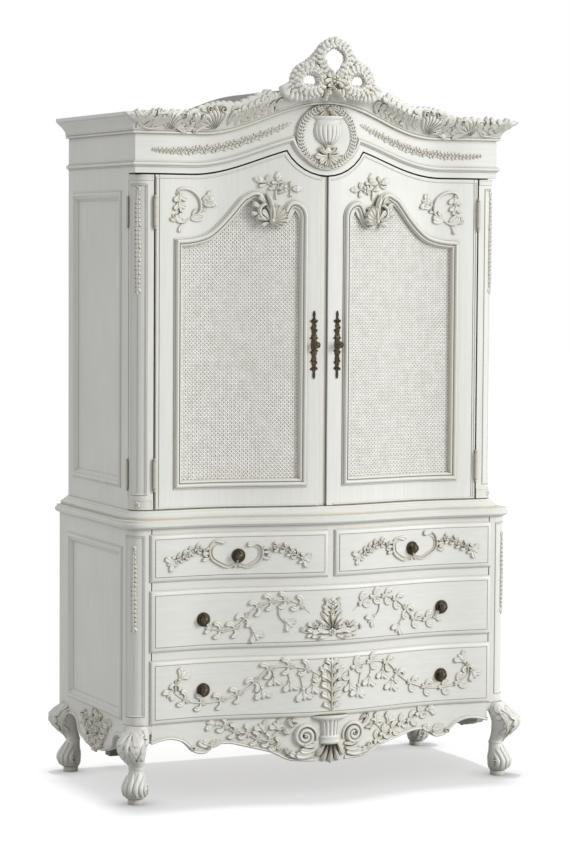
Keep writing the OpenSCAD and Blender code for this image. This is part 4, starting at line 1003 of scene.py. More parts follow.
# Doors: the cane's moulding has two arched shoulders that meet at a dip
panelSizes = {
    "near": 60, "far": 492, "foot": 60,
    "head": ((0, 150), (0, 122), (0.01, 103), (0.034, 87), (0.072, 75), (0.115, 71), (0.155, 77),
        (0.182, 92), (0.202, 110), (0.225, 124), (0.246, 125), (0.263, 112), (0.28, 94), (0.298, 74),
        (0.318, 60), (0.345, 49), (0.38, 43), (0.42, 45), (0.46, 54), (0.505, 67), (0.602, 117),
        (0.68, 152), (0.76, 177), (0.88, 190), (1, 193)),
    "profile": ((0, -1.2), (0, 2.6), (0.8, 3.6), (2.8, 3.8), (3.8, 3), (4.2, 5), (5.4, 8), (7.6, 10.6),
        (10.4, 11.8), (13, 11.2), (15.4, 8.8), (16.8, 6), (17.4, 4.2), (18.2, 4), (18.8, 5.6), (20.4, 7),
        (22.6, 6.8), (24.4, 5), (25.4, 2.4), (26, -1), (27.6, -2), (28, -9.6))}


def panelLine(s):
    foot = doorFootZ + s["foot"]
    head = smoothLine([(s["near"] + share * (s["far"] - s["near"]), doorCornerZ - depth)
            for share, depth in s["head"]], 6)
    sill = [(x, foot) for x in np.linspace(s["near"], s["far"], 20)]
    return np.vstack([sill, evenLine(head[::-1], 7)])


panelEdge = panelLine(panelSizes)
panelRing = moulding(panelEdge, panelSizes["profile"], True)


# A bead along a door's edge: up from the foot, over the head and down
beadSizes = {
    "near": 29, "far": 551, "head": (9, 548), "sill": 60, "foot": 4, "step": 8, "drop": -9,
    "profile": ((-2.4, -sunk), (-2.4, 0.6), (-1.2, 2.2), (1.2, 2.2), (2.4, 0.6), (2.4, -sunk))}


def edgeBead(s):
    z0 = doorFootZ + s["foot"]
    x = np.concatenate([np.arange(*s["head"], s["step"]), [s["far"]]])
    sill = [(s["near"], z0)] + [(k, z0) for k in np.linspace(s["sill"], s["far"], 16)]
    line = np.vstack([sill, np.column_stack([x, headAt(x, s["drop"])])[::-1]])
    return moulding(line[:-1], s["profile"])


doorBead = edgeBead(beadSizes)

# On each door: a sprig by the outer corner, a C-scroll wreath by the inner one, and the carving at the dip
doorSizes = {
    "sprigStems": ((7, ((165, 1852), (166, 1868), (166, 1886))),
        (5, ((166, 1884), (182, 1898), (198, 1906))), (5, ((165, 1884), (158, 1896), (158, 1906))),
        (5, ((164, 1886), (140, 1887), (118, 1886)))),
    "sprigLeaves": ((194, 1905, 22, 42, 28, -10), (158, 1902, 82, 36, 26, 6), (122, 1887, 184, 38, 26, -8)),
    "sprigCurls": ((166, 1886, 150, 24, 90), (168, 1884, 30, 22, -90), (160, 1902, 140, 24, 90),
        (158, 1902, 34, 24, -90), (196, 1905, 88, 26, 80), (196, 1903, -44, 26, 80),
        (122, 1887, 120, 24, -90), (122, 1885, 236, 24, 90), (163, 1874, 160, 18, 60)),
    "wreathStems": ((10, ((486, 1866), (478, 1880), (458, 1884), (434, 1878), (413, 1862),
        (403, 1840), (404, 1818), (416, 1806), (430, 1799))), (6, ((478, 1876), (481, 1850), (482, 1824))),
        (6, ((404, 1841), (394, 1843), (384, 1846))),
        (7, ((432, 1798), (452, 1784), (474, 1780), (492, 1792), (500, 1806)))),
    "wreathCurls": ((396, 1840, 210, 32, -70), (398, 1846, 120, 30, 80), (436, 1794, 150, 40, 60),
        (436, 1792, 196, 38, -60), (430, 1798, 96, 28, 90), (456, 1780, 14, 42, 70),
        (456, 1782, 66, 34, -60), (462, 1776, -40, 30, -70), (484, 1786, -10, 24, 90),
        (406, 1822, 200, 22, -80), (478, 1832, -140, 24, 90)),
    "fan": ((84, 52), (102, 57), (120, 58), (138, 55), (156, 48), (174, 40), (194, 30)),
    "dipCurls": ((190, 1790, 62, 40, -30), (196, 1788, 34, 36, -40), (190, 1782, -10, 26, -40),
        (204, 1836, 78, 34, -70), (214, 1822, 52, 34, -50), (218, 1806, 22, 28, -50)),
    "hook": ((194, 1838), (208, 1837), (219, 1824), (217, 1804), (199, 1787)),
    "rib": ((198, 1874), (188, 1852), (181, 1828), (178, 1804), (183, 1780)),
    "wreathTulips": ((476, 1872, -96, 34), (479, 1846, -100, 32), (390, 1844, 158, 40))}
sprig = stems(doorSizes["sprigStems"], 0.9)
sprig += [leaf((x, z), a, l, w, 9, 3, c, full=0.5) for x, z, a, l, w, c in doorSizes["sprigLeaves"]]
sprig += flower((144, 1888), 14, 9)
sprig += curls(doorSizes["sprigCurls"])
wreath = stems(doorSizes["wreathStems"], 0.8, (0.5, 0.5))
wreath += tulips(doorSizes["wreathTulips"]) + flower((374, 1852), 12, 8)
wreath += curls(doorSizes["wreathCurls"])
# Where the two shoulders meet: an acanthus leaf that turns over between a hooked scroll and a fan of lobes
shellParts = [stem(doorSizes["hook"], 12, 14, (0.4, 0.4)),
              stem(doorSizes["rib"], 14, 18, (0.3, 0.3)), boss((181, 1788), 9, 17)]
shellParts += [curled(180, 1782, angle, size, 14, 19, 0.155) for angle, size in doorSizes["fan"]]
shellParts += curls(doorSizes["dipCurls"], 13)
doorRight = [panelRing, doorBead] + sprig + wreath + raised(shellParts, 8)
makePair("door_moulding", "_carved", doorRight, "door", paintUpright, onUpper)
print("doors: moulded and carved")

# Cane: two strands up, two across and one along each slant in every cell, woven over and under
caneSizes = {
    "pitch": 12.7, "strand": 2.5, "slant": 2.3, "apart": 4.4, "thick": 0.7, "wave": 0.5, "front": 8.6,
    "under": 6}


# A strand: flat under, raised along its middle; the line is (along, up, height)
def strand(line, width, thick):
    p = np.asarray(line, float)
    edge = np.column_stack([leftOf(p[:, :2]) * width / 2, np.zeros(len(p))])
    verts = np.stack([p + edge, p + [0, 0, thick], p - edge], 1).reshape(-1, 3)
    return [(verts, [(3 * i + j, 3 * i + j + 1, 3 * i + j + 4, 3 * i + j + 3)
                     for i in range(len(p) - 1) for j in (0, 1)])]


def caneCell(s):
    h, wave, parts = s["pitch"] / 2, s["wave"], []
    for k in (-1, 1):
        c = k * s["apart"] / 2
        crossing = 2 * wave if k > 0 else 0
        for line, width in ((((c, -h, 0), (c, 0, -wave * k), (c, h, 0)), "strand"),
                            (((-h, c, 0), (0, c, wave * k), (h, c, 0)), "strand"),
                            (((-h, -h * k, k * wave), (0, 0, crossing), (h, h * k, k * wave)), "slant")):
            parts += strand(line, s[width], s["thick"])
    return parts


# One cell of the weave on every point of a grid that lies over the sheet
def caneTree():
    tree, given, made = newTree("caneWeave", [
        ("Cell", "NodeSocketObject"), ("Pitch", "NodeSocketFloat"), ("Material", "NodeSocketMaterial")])
    inlet = given.outputs
    span = addNode(tree, "GeometryNodeBoundBox", {"Geometry": inlet["Geometry"]}).outputs
    size = vectorMaths(tree, "SUBTRACT", span["Max"], span["Min"])
    middle = addNode(tree, "ShaderNodeMix", {0: 0.5, 4: span["Min"], 5: span["Max"]}, data_type="VECTOR")
    whole = vectorMaths(tree, "CEIL", vectorMaths(tree, "DIVIDE", size, inlet["Pitch"]))
    counts, lengths = (addNode(tree, "ShaderNodeSeparateXYZ", {"Vector": v}).outputs
                       for v in (whole, vectorMaths(tree, "MULTIPLY", whole, inlet["Pitch"])))
    across, up = (maths(tree, "ADD", counts[k], 1.0) for k in "XY")
    grid = addNode(tree, "GeometryNodeMeshGrid", {
        "Size X": lengths["X"], "Size Y": lengths["Y"], "Vertices X": across, "Vertices Y": up})
    centred = addNode(tree, "GeometryNodeTransform", {"Geometry": grid.outputs["Mesh"],
            "Translation": middle.outputs[1]}).outputs["Geometry"]
    place = addNode(tree, "GeometryNodeInputPosition").outputs["Position"]
    drop = addNode(tree, "ShaderNodeCombineXYZ", {"Z": -1.0}).outputs["Vector"]
    seen = addNode(tree, "GeometryNodeRaycast", {
        "Target Geometry": inlet["Geometry"], "Source Position": vectorMaths(tree, "ADD", place, (0, 0, 1)),
        "Ray Direction": drop})
    outside = addNode(tree, "FunctionNodeBooleanMath", {0: seen.outputs["Is Hit"]}, operation="NOT")
    inside = addNode(tree, "GeometryNodeDeleteGeometry",
                     {"Geometry": centred, "Selection": outside.outputs["Boolean"]})
    cell = addNode(tree, "GeometryNodeObjectInfo", {"Object": inlet["Cell"]})
    placed = addNode(tree, "GeometryNodeInstanceOnPoints",
                     {"Points": inside.outputs["Geometry"], "Instance": cell.outputs["Geometry"]})
    return dressTree(tree, placed, inlet, made)


inset = panelSizes["profile"][-1][0] - caneSizes["under"]
opening = moulding(panelEdge, [(inset, 0), (inset, 1)], True)[0][::2, :2]
sheet = flatObject("caneOpening", np.column_stack([opening, np.zeros(len(opening))]),
    [tuple(range(len(opening)))])
cell = flatObject("caneCell", *joinParts(caneCell(caneSizes)))
weave = runTree(caneTree(), sheet, {"Cell": cell, "Pitch": caneSizes["pitch"], "Material": caneStrand})
bpy.data.objects.remove(cell)


def onCane(v):
    return onUpper(v, -caneSizes["front"])


makePair("cane_weave", "", [weave], "door", caneStrand, onCane, False, slot="cane", sharp=60)
print("cane: woven")


# Rounded corners: pilasters above and corner posts below. Their skin is laid out flat as (round the
# corner, up, height), from the front face, over the round, to the side; a sunk panel holds a drop of husks
def onCorner(v, s):
    u, radius = v[:, 0], s["radius"]
    turn = np.clip(u / radius, 0, math.pi / 2)
    r = radius + v[:, 2]
    x = s["half"] - radius + np.minimum(u, 0) + r * np.sin(turn)
    y = s["face"] + radius - r * np.cos(turn) + np.maximum(u - radius * math.pi / 2, 0)
    return np.column_stack([x, y, v[:, 1]])


# A sunk panel with a raised edge: how far in from its outline, and how high
panelEdgeSizes = {
    "in": (-1.6, -0.6, 0, 1.2, 2.4, 3.2, 4.2, 5.4, 9), "high": (0, -1.4, 0, 1.3, 1.3, 0, -1.6, -2.8, -2.8)}


def cornerSkin(s, z0, z1):
    inner, outer = -s["front"], s["radius"] * math.pi / 2 + s["side"]
    u0, u1 = s["panel"]
    edges = np.array(panelEdgeSizes["in"])
    flatBand = np.linspace(u0 + edges[-1], u1 - edges[-1], 12)
    u = np.unique(np.concatenate([[inner, outer], u0 + edges, u1 - edges, flatBand]).round(3))
    low, high = z0 + s["foot"], z1 - s["head"]
    rings = []
    for level in np.unique(np.concatenate([[z0, z1], low + edges, high - edges]).round(3)):
        depth = np.minimum(np.minimum(u - u0, u1 - u), min(level - low, high - level))
        skin = np.column_stack([u, np.full(len(u), level), np.interp(depth, edges, panelEdgeSizes["high"])])
        shape = onCorner(skin, s)
        side, rear = shape[-1][0] - s["thick"], s["face"] + s["thick"]
        rings.append(np.vstack([shape, [(side, shape[-1][1], level), (side, rear, level),
                    (shape[0][0], rear, level)]]))
    return loft(rings)


husk = [leaf((0, 0), a, 15, 9, h, rows=6, full=0.55, ribs=5, curl=c)
        for a, h, c in ((34, 6.5, -24), (-34, 6.5, 24), (0, 8, 0))]
husk += [boss((-1, 0), 3.4, 7.5, 7, 2), boss((5, 5.5), 2.2, 6, 5, 2), boss((5, -5.5), 2.2, 6, 5, 2)]


# A drop of husks with a flower at its head and a bud at its foot
def huskDrop(s, seed):
    u = s["radius"] * math.pi / 4
    top, foot = s["drop"]
    line = np.column_stack([np.full(40, u), np.linspace(top - 12, foot + 26, 40)])
    parts = [row(line, husk, s["spacing"], s["size"], 0.35, 9, seed), stem(line[::13], 3, 2.4)]
    parts += flower((u, top - 6), 8 * s["size"], 6, 5, 18) + bell((u, foot + 30), -90, 28, 14 * s["size"], 7)
    return raised(parts, -s["deep"])


pilasterSizes = {
    "half": upperX, "face": upperY, "radius": 42, "front": 20, "side": 8, "thick": 14, "panel": (2, 64),
    "foot": 46, "head": 30, "drop": (1888, 1556), "size": 1.25, "spacing": 13, "deep": 2.6, "plinth": 33,
    "cap": 18, "block": ((0, -sunk), (0, 0.8), (1.5, 2), (4, 2), (5, 1), (6.5, 1))}
postSizes = {
    "half": lowerX, "face": lowerY, "radius": 46, "front": 21, "side": 14, "thick": 16, "panel": (1, 70),
    "foot": 26, "head": 20, "drop": (792, 522), "size": 1.15, "spacing": 13.5, "deep": 2.6}


# A small raised field on the plinth or the cap of a pilaster
def blockFace(s, z0, z1):
    u0, u1 = -s["front"], s["radius"] * math.pi / 2 + s["side"]
    rings = []
    for inset, h in s["block"]:
        u = np.linspace(u0 + inset, u1 - inset, 18)
        rings.append([(a, z0 + inset, h) for a in u] + [(a, z1 - inset, h) for a in u[::-1]])
    return boardLoft(rings)


def cornerPiece(node, s, seed, extra=()):
    low, high = boxOf(node)
    return [cornerSkin(s, low.z, high.z)] + [(onCorner(v, s), f) for v, f in huskDrop(s, seed) + list(extra)]


s = pilasterSizes
low, high = boxOf("pilaster_right")
blocks = [blockFace(s, low.z, low.z + s["plinth"]), blockFace(s, high.z - s["cap"], high.z)]
blocks += flower((s["radius"] * math.pi / 4, low.z + s["plinth"] / 2), 11, 6, 6, 30)
makePair("pilaster", "_carved", cornerPiece("pilaster_right", s, 11, blocks), "pilaster", paintUpright)
postParts = both(cornerPiece("corner_posts", postSizes, 17))
makePiece("corner_posts_carved", postParts, "root", paintUpright, None, ["corner_posts"])
print("corners: carved")

# Sides: a heavy moulding round each sunk panel
sideSizes = {
    "profile": ((0, -1.2), (0, 1.5), (1, 2.2), (3, 2.2), (4, 1.4), (5, 3), (8, 4.8), (12, 5), (15, 3.6),
        (17, 1.6), (18, 1.2), (19.4, 2), (21, 2), (22.4, 0.6), (24, -2.6), (27, -5.6), (29, -6.8),
        (31, -7.2), (31, -9.5)), "lower": ((-278, 213), (250, 788)), "upper": ((-313, 120), (961, 1878)),
    "out": 5}


def sideMoulding(spans, plane, s):
    (y0, y1), (z0, z1) = spans
    line = ((y0, z0), (y1, z0), (y1, z1), (y0, z1))
    v, f = moulding(line, s["profile"], True)
    return np.column_stack([plane + np.minimum(v[:, 2], s["out"]), -v[:, 0], v[:, 1]]), f


sideRuns = [sideMoulding(sideSizes["lower"], lowerX, sideSizes),
            sideMoulding(sideSizes["upper"], upperX, sideSizes)]
makePiece("side_mouldings_run", both(sideRuns), "root", paintUpright, None, ["side_mouldings"])
print("sides: moulded")


# Turns points about an upright axis, then moves them
def turnedTo(v, place, turn):
    c, w = math.cos(turn), math.sin(turn)
    return np.column_stack([v[:, 0] * c - v[:, 1] * w, v[:, 0] * w + v[:, 1] * c, v[:, 2]]) + np.array(place)


# Lathe work: the profile is (out along the axis, radius), set at a place and turned to face a way
def turnedKnob(profile, place, turn, around):
    a = np.linspace(0, 2 * math.pi, around, endpoint=False)
    rings = [np.column_stack([max(r, 0.05) * np.cos(a), np.full(around, -out), max(r, 0.05) * np.sin(a)])
             for out, r in profile]
    verts, faces = loft(rings)
    return turnedTo(verts, place, turn), faces


knobSizes = {
    "beadRing": 18.4, "beadFoot": 2.2, "beads": 28, "let": 0.4, "edge": 22, "at": 300,
    "profile": ((-1, 21.4), (0.6, 22), (2.4, 22), (3.6, 21), (3.8, 19.8), (2.4, 18.8), (2.4, 17.2),
        (4.4, 16.4), (5.2, 15), (4.6, 13.6), (3.2, 12), (4, 8), (9, 6), (12, 6.2), (13.4, 9), (14.8, 12.4),
        (16.6, 13.9), (18.4, 14), (20, 13.2), (21, 11.8), (20.4, 10.8), (20.8, 9.9), (22.6, 8.8),
        (23.4, 7.4), (22.8, 6.4), (23.4, 5), (24.6, 3), (25, 1.4), (25.1, 0))}


def drawerKnob(x, z, s):
    before, here, after = -bowAt(np.array([x - 1, x, x + 1]), caseLines["lowerHalf"])
    place = (x, lowerY + here - drawerSizes["face"] + s["let"], z)
    turn = math.atan2(after - before, 2)
    parts = [turnedKnob(s["profile"], place, turn, 48)]
    radius, v, f = s["beadRing"], *boss((0, 0), 1.7, 1.9, 6, 2)
    for a in np.arange(s["beads"]) * 2 * math.pi / s["beads"]:
        along, up = v[:, 0] + radius * math.cos(a), v[:, 1] + radius * math.sin(a)
        flat = np.column_stack([along, -v[:, 2] - s["beadFoot"], up])
        parts.append((turnedTo(flat, place, turn), f))
    return parts


for node, body in (("small_left_knob", "drawer_small_left"), ("small_right_knob", "drawer_small_right"),
        ("middle_knobs", "drawer_middle"), ("bottom_knobs", "drawer_bottom")):
    low, high = boxOf(node)
    z = (low.z + high.z) / 2
    pair = high.x - low.x > 100
    edge = knobSizes["edge"]
    places = [low.x + edge, high.x - edge] if pair else [math.copysign(knobSizes["at"], low.x)]
    makePiece(node + "_turned", sum([drawerKnob(x, z, knobSizes) for x in places], []), body, castBronze,
        None, [node], "bronze")
print("knobs: turned")

# Door handles: a long leafy plate and a small round knob
pullSizes = {
    "edge": ((0, 1.02), (3.4, 0.97), (4.6, 0.9), (3.6, 0.82), (5.4, 0.78), (7.6, 0.74), (4.6, 0.7),
        (6.4, 0.62), (8.4, 0.56), (6, 0.5), (8.8, 0.42), (7, 0.34), (9.8, 0.26), (7.6, 0.18), (9.6, 0.1),
        (9.6, 0)), "half": 104, "centre": 1403, "x": 40,
    "knob": ((2, 9), (4, 9.6), (6, 8), (8, 5), (14, 4.4), (18, 5), (20, 8), (23, 10.2), (26, 10.6),
        (28.6, 9.8), (29.6, 8), (29, 6.6), (29.6, 5.6), (31, 4), (31.8, 2), (32, 0)),
    "leaves": ((1, 70, 20), (-1, 70, 160), (1, 48, 30), (-1, 40, 150), (1, 22, -20), (-1, 22, 200),
        (1, -24, 20), (-1, -20, 160), (1, -46, -30), (-1, -50, 210), (1, -72, -20), (-1, -70, 200)),
    "beads": (88, 60, 30, -30, -60, -88)}


def pullPlate(s):
    half = smoothLine([(w, s["half"] * share) for w, share in s["edge"]], 4)
    rings = []
    z = np.concatenate([half[:, 1], -half[::-1][1:, 1]])
    w = np.maximum(np.concatenate([half[:, 0], half[::-1][1:, 0]]), 0.6)
    for level, width in zip(z, w):
        k = np.linspace(-1, 1, 9)
        wave = 0.62 + 0.38 * abs(math.sin(level / 9))
        h = 1.2 + 4.6 * (1 - np.abs(k) ** 2.4) * wave * (1 - 0.3 * (np.abs(k) < 0.2))
        rings.append([(s["x"] + a * width, s["centre"] + level, b) for a, b in zip(k, h)]
            + [(s["x"] + width, s["centre"] + level, 0.3), (s["x"] - width, s["centre"] + level, 0.3)])
    parts = [loft(rings)]
    for k, level, angle in s["leaves"]:
        foot, curl = (s["x"] + k * 3, s["centre"] + level), k * (50 if level > 0 else -50)
        parts.append(leaf(foot, angle, 12, 7, 6, 0, curl, rows=7, full=0.4))
    for level in s["beads"]:
        parts.append(boss((s["x"], s["centre"] + level), 3, 7.5, around=8, up=3))
    return parts


pullFlat = [(onUpper(v), f) for v, f in pullPlate(pullSizes)]
s = pullSizes
knobY = upperY - float(bowAt(np.array([s["x"]]), caseLines["upperHalf"])[0])
pullParts = pullFlat + [turnedKnob(s["knob"], (s["x"], knobY, s["centre"]), 0, 32)]
makePair("pull", "_cast", pullParts, "door", castBronze, slot="brass")
print("handles: cast")


# Small drawers: two C scrolls round the knob, and a garland of flowers on each side
smallSizes = {
    "scrolls": ((6.5, ((-350, 796), (-374, 803), (-389, 789), (-394, 768), (-387, 747), (-362, 729),
        (-334, 719), (-304, 729))),
        (6.5, ((-266, 782), (-244, 790), (-228, 781), (-225, 764), (-229, 743), (-246, 727),
        (-275, 717), (-304, 729))),
        (3, ((-366, 792), (-380, 782), (-384, 766), (-378, 750), (-356, 736), (-330, 727), (-304, 736))),
        (3, ((-250, 780), (-238, 774), (-236, 762), (-240, 748), (-254, 736), (-278, 726), (-304, 736)))),
    "curls": ((-378, 802, 2, 36, -24), (-242, 789, 176, 32, 24), (-392, 762, 160, 26, 60),
        (-393, 752, 215, 26, -60), (-228, 752, -35, 26, 60), (-227, 762, 20, 24, -60),
        (-304, 727, -50, 14, 60), (-304, 727, -130, 14, -60), (-304, 730, 90, 14, 0)),
    "vines": ((((-398, 766), (-412, 774), (-428, 779), (-446, 775), (-463, 766), (-480, 758),
        (-498, 750), (-520, 740), (-534, 735)), 1),
        (((-214, 765), (-195, 776), (-177, 780), (-158, 774), (-140, 764), (-122, 754), (-107, 744),
        (-92, 738), (-80, 734)), -1)),
    "flowers": ((-426, 781, 10, 10), (-466, 767, 11, 30), (-497, 754, 9, 0), (-183, 780, 10, 10),
        (-132, 760, 11, 30)), "joints": (0.06, 0.26, 0.42, 0.56, 0.7, 0.86)}
smallCarving = stems(smallSizes["scrolls"], 1, (0.5, 0.5))
smallCarving += curls(smallSizes["curls"], 8)
for points, way in smallSizes["vines"]:
    smallCarving += vine(points, 4.5, smallSizes["joints"], way, 21)
for x, z, r, turn in smallSizes["flowers"]:
    smallCarving += flower((x, z), r, 8, 5, turn)
smallCarving += tulips(((-508, 746, 204, 38), (-104, 744, -22, 36)))

# Middle drawer: a palmette with flowers about it, and a vine on each side that ends at the knob
middleSizes = {
    "curls": ((12, 602, 20, 20, 80), (4, 582, 62, 28, -60), (6, 574, 20, 32, 70), (8, 508, 0, 46, 60),
        (28, 506, 24, 42, -75), (50, 512, -12, 36, 85), (64, 520, 64, 26, -70), (40, 498, -20, 30, 60),
        (16, 498, -30, 30, 60), (60, 500, 10, 26, -70), (98, 511, 40, 18, 150), (8, 560, 30, 30, 60)),
    "leaves": ((66, 60, -20), (44, 54, -25), (22, 48, -30)),
    "flowers": ((0, 598, 16), (0, 508, 13), (32, 526, 12), (58, 530, 10), (0, 566, 9), (44, 492, 9)),
    "vine": ((-396, 533), (-380, 527), (-362, 524), (-338, 523), (-315, 527), (-300, 538), (-288, 550),
        (-274, 566), (-260, 580), (-246, 590), (-232, 598), (-216, 604), (-202, 608), (-176, 610),
        (-150, 611), (-126, 606), (-96, 588), (-74, 570)),
    "joints": (0.1, 0.23, 0.36, 0.5, 0.62, 0.74, 0.87),
    "sprays": (((-284, 552), (-270, 540), (-258, 526), (-250, 512)),
        ((-150, 610), (-166, 600), (-174, 582), (-170, 562), (-160, 550), (-150, 542))),
    "foot": ((62, 506), (80, 508), (98, 511))}
middleCarving = both(curls(middleSizes["curls"], 8))
middleCarving += both([leaf((2, 516), a, l, 17, 10, 2, c, full=0.6) for a, l, c in middleSizes["leaves"]])
middleCarving.append(leaf((0, 516), 90, 64, 16, 12, 2, 0, full=0.6))
middleCarving += both([stem(middleSizes["foot"], 4.5, 4.5)])
for x, z, r in middleSizes["flowers"]:
    bloom = flower((x, z), r, 9, 6, 30)
    middleCarving += bloom if x == 0 else both(bloom)
middleVine = vine(middleSizes["vine"], 6, middleSizes["joints"], 1, 34)
middleVine += [stem(points, 5, 5) for points in middleSizes["sprays"]]
middleVine += tulips(((-254, 518, -60, 38), (-154, 548, -40, 36), (-384, 528, 165, 28)))
middleCarving += both(middleVine)

# Bottom drawer: a leafy column, and a long vine hung with bell flowers on each side
bottomSizes = {
    "vine": ((-526, 362), (-514, 344), (-500, 330), (-480, 317), (-455, 307), (-428, 302), (-399, 301),
        (-370, 303), (-342, 309), (-316, 317), (-291, 328), (-268, 342), (-250, 356), (-234, 374),
        (-216, 391), (-196, 400), (-172, 405), (-148, 405), (-126, 403), (-100, 399), (-74, 391),
        (-54, 381), (-36, 369), (-16, 350)),
    "joints": (0.12, 0.22, 0.33, 0.43, 0.54, 0.64, 0.75, 0.85, 0.95),
    "bells": ((-242, 362, -226, 340, 42), (-196, 400, -188, 376, 36), (-150, 404, -138, 360, 40),
        (-112, 398, -96, 332, 44), (-60, 384, -64, 346, 36)),
    "spray": ((-506, 340), (-508, 356), (-500, 372), (-486, 384)),
    "column": ((262, 36), (290, 44), (320, 46), (350, 44), (380, 38)),
    "spine": ((0, 262), (0, 300), (0, 350), (0, 410))}
bottomVine = vine(bottomSizes["vine"], 6.2, bottomSizes["joints"], 1, 34)
for x0, z0, x1, z1, size in bottomSizes["bells"]:
    bottomVine += [stem([(x0, z0), (x0 * 0.4 + x1 * 0.6, (z0 + z1) / 2), (x1, z1)], 4, 4)]
    bottomVine += tulip(x1, z1, -90 + (x1 - x0) * 0.6, size)
bottomVine += tulip(-518, 350, -125, 36) + [stem(bottomSizes["spray"], 5, 5)]
bottomVine += tulip(-494, 378, 50, 38) + joint(-506, 362, 80, 26)
bottomCarving = [stem(bottomSizes["spine"], 6, 7)]
for level, size in bottomSizes["column"]:
    bottomCarving += both(curls(((1, level, 58, size, -70), (1, level + 6, 34, size * 0.6, 80)), 8))
    bottomCarving.append(leaf((0, level), 90, size * 0.8, 10, 10))
bottomCarving += tulip(0, 396, 90, 34) + both(bottomVine)

for name, body, parts in (("small_left", "drawer_small_left", smallCarving),
        ("small_right", "drawer_small_right", flipped(smallCarving)),
        ("middle", "drawer_middle", middleCarving), ("bottom", "drawer_bottom", bottomCarving)):
    makePiece(name + "_carving", parts, body, paintLevel, lambda v: onLower(v, drawerSizes["face"]))
print("drawers: carved")

# Apron: a fluted keystone between two volutes over a fan of lobes, vines, and a rolled edge
apronSizes = {
    "half": 582, "drop": 147,
    "edge": ((1, 0.41), (0.945, 0.355), (0.885, 0.34), (0.825, 0.41), (0.787, 0.52), (0.758, 0.64),
        (0.722, 0.69), (0.684, 0.69), (0.653, 0.6), (0.622, 0.52), (0.55, 0.515), (0.49, 0.57),
        (0.361, 0.7), (0.321, 0.75), (0.237, 0.91), (0.175, 0.945), (0.09, 0.965)),
    "roll": ((0.4, -1.2), (0.4, 1), (-0.6, 3.6), (-3, 5.2), (-5.6, 4.4), (-7.2, 2), (-8.4, 1.4),
        (-9.4, 2.4), (-11, 2.4), (-12, 0.8), (-12.4, -1.2)),
    "key": ((-4, 60, 24, 0), (1, 61, 25, 0), (5, 56, 24, 0), (9, 44, 21, 0), (13, 36, 19, 1),
        (18, 33, 18, 1), (36, 30.5, 18, 1), (58, 29, 17, 1), (61, 33, 18, 0), (65, 35, 19, 0),
        (70, 33, 17, 0), (76, 33, 17, 0), (81, 35, 18, 0), (85, 33, 16, 0), (88, 28, 12, 0)),
    "curls": ((388, 160, 12, 42, 50), (388, 160, 168, 42, -50), (388, 162, 56, 28, -70),
        (388, 162, 124, 28, 70)),
    "vine": ((378, 231), (358, 228), (339, 222), (325, 214), (312, 206), (292, 201), (273, 198), (254, 187),
        (235, 177), (215, 174), (196, 170), (180, 158), (164, 144)),
    "joints": (0.16, 0.32, 0.48, 0.64, 0.8, 0.93),
    "sprays": (((235, 177), (228, 192), (212, 202)), ((196, 171), (188, 186), (172, 200), (160, 208))),
    "voluteCurls": ((50, 152, -14, 42, 60), (54, 138, -20, 50, 60), (58, 124, -16, 60, 50),
        (96, 118, 0, 44, 60), (124, 124, 16, 34, 90), (120, 212, 30, 34, 90), (128, 196, -10, 30, 90),
        (110, 222, 60, 24, -90))}
edge = smoothLine([(share * apronSizes["half"], baseZ - drop * apronSizes["drop"])
        for share, drop in apronSizes["edge"]], 4)
roll = apronSizes["roll"]
apronParts = [moulding(evenLine(edge, 5), roll)] + scroll((440, 158), 10, 1.0, -60, 1, 6, 8)
apronParts += curls(apronSizes["curls"], 8) + flower((388, 160), 9, 9)
apronParts += vine(apronSizes["vine"], 5.5, apronSizes["joints"], 1, 32)
apronParts += [stem(points, 4, 4) for points in apronSizes["sprays"]]
apronParts += tulips(((366, 230, 12, 38), (214, 200, 60, 36), (166, 206, 50, 34)))
apronParts += curls(((150, 216, 20, 30, -130), (146, 186, 60, 22, 120)), 8)
makePiece("apron_carving", both(apronParts), "root", paintLevel, onLower)

keyParts = [turnedRelief([(baseZ - (down + 2), half, relief, g)
            for down, half, relief, g in apronSizes["key"]], 7, 0.25, 57)]
# The fan under the key
for i in range(-2, 3):
    foot, angle = (i * 9, baseZ - 84), -90 + i * 15
    keyParts.append(leaf(foot, angle, 66 - i * i * 4, 22, 19, 0, i * 4, rows=12, full=0.74, ribs=9))
voluteParts = scroll((84, 181), 40, 2.4, -160, -1, 16, 12, eye=0.14)
voluteParts += curls(apronSizes["voluteCurls"], 13)
makePiece("apron_shell_carved", keyParts + both(voluteParts), "root", paintLevel, onLower, ["apron_shell"])
print("apron: carved")

# Side aprons: flowers and leaves, close together, over a rolled edge
sideApronSizes = {
    "edge": ((1, 0.4), (0.85, 0.36), (0.7, 0.45), (0.6, 0.76), (0.45, 0.86), (0.3, 0.95), (0.15, 0.98),
        (0, 1)), "drop": 120, "pitch": 24, "rows": (134, 222, 21), "reach": 120, "foot": 120, "spread": 0.9,
    "stray": 5, "half": 32, "seed": 5,
    "bells": ((0, 168, -90), (-36, 160, -110), (36, 160, -70), (-18, 214, 110), (18, 216, 70)),
    "climb": ((24, 132), (50, 144), (74, 160), (94, 180), (112, 202), (128, 220)), "flowers": 0.35}
low, high = boxOf("side_aprons")
sideMiddle, sideHalf = (low.y + high.y) / 2, (high.y - low.y) / 2
sideEdge = smoothLine([(share * sideHalf, baseZ - drop * sideApronSizes["drop"])
        for share, drop in sideApronSizes["edge"]], 4)
sideEdge = np.vstack([sideEdge, sideEdge[::-1][1:] * np.array([-1, 1])])
sideParts = [moulding(evenLine(sideEdge, 6), roll)]
s = sideApronSizes
rng = np.random.default_rng(s["seed"])
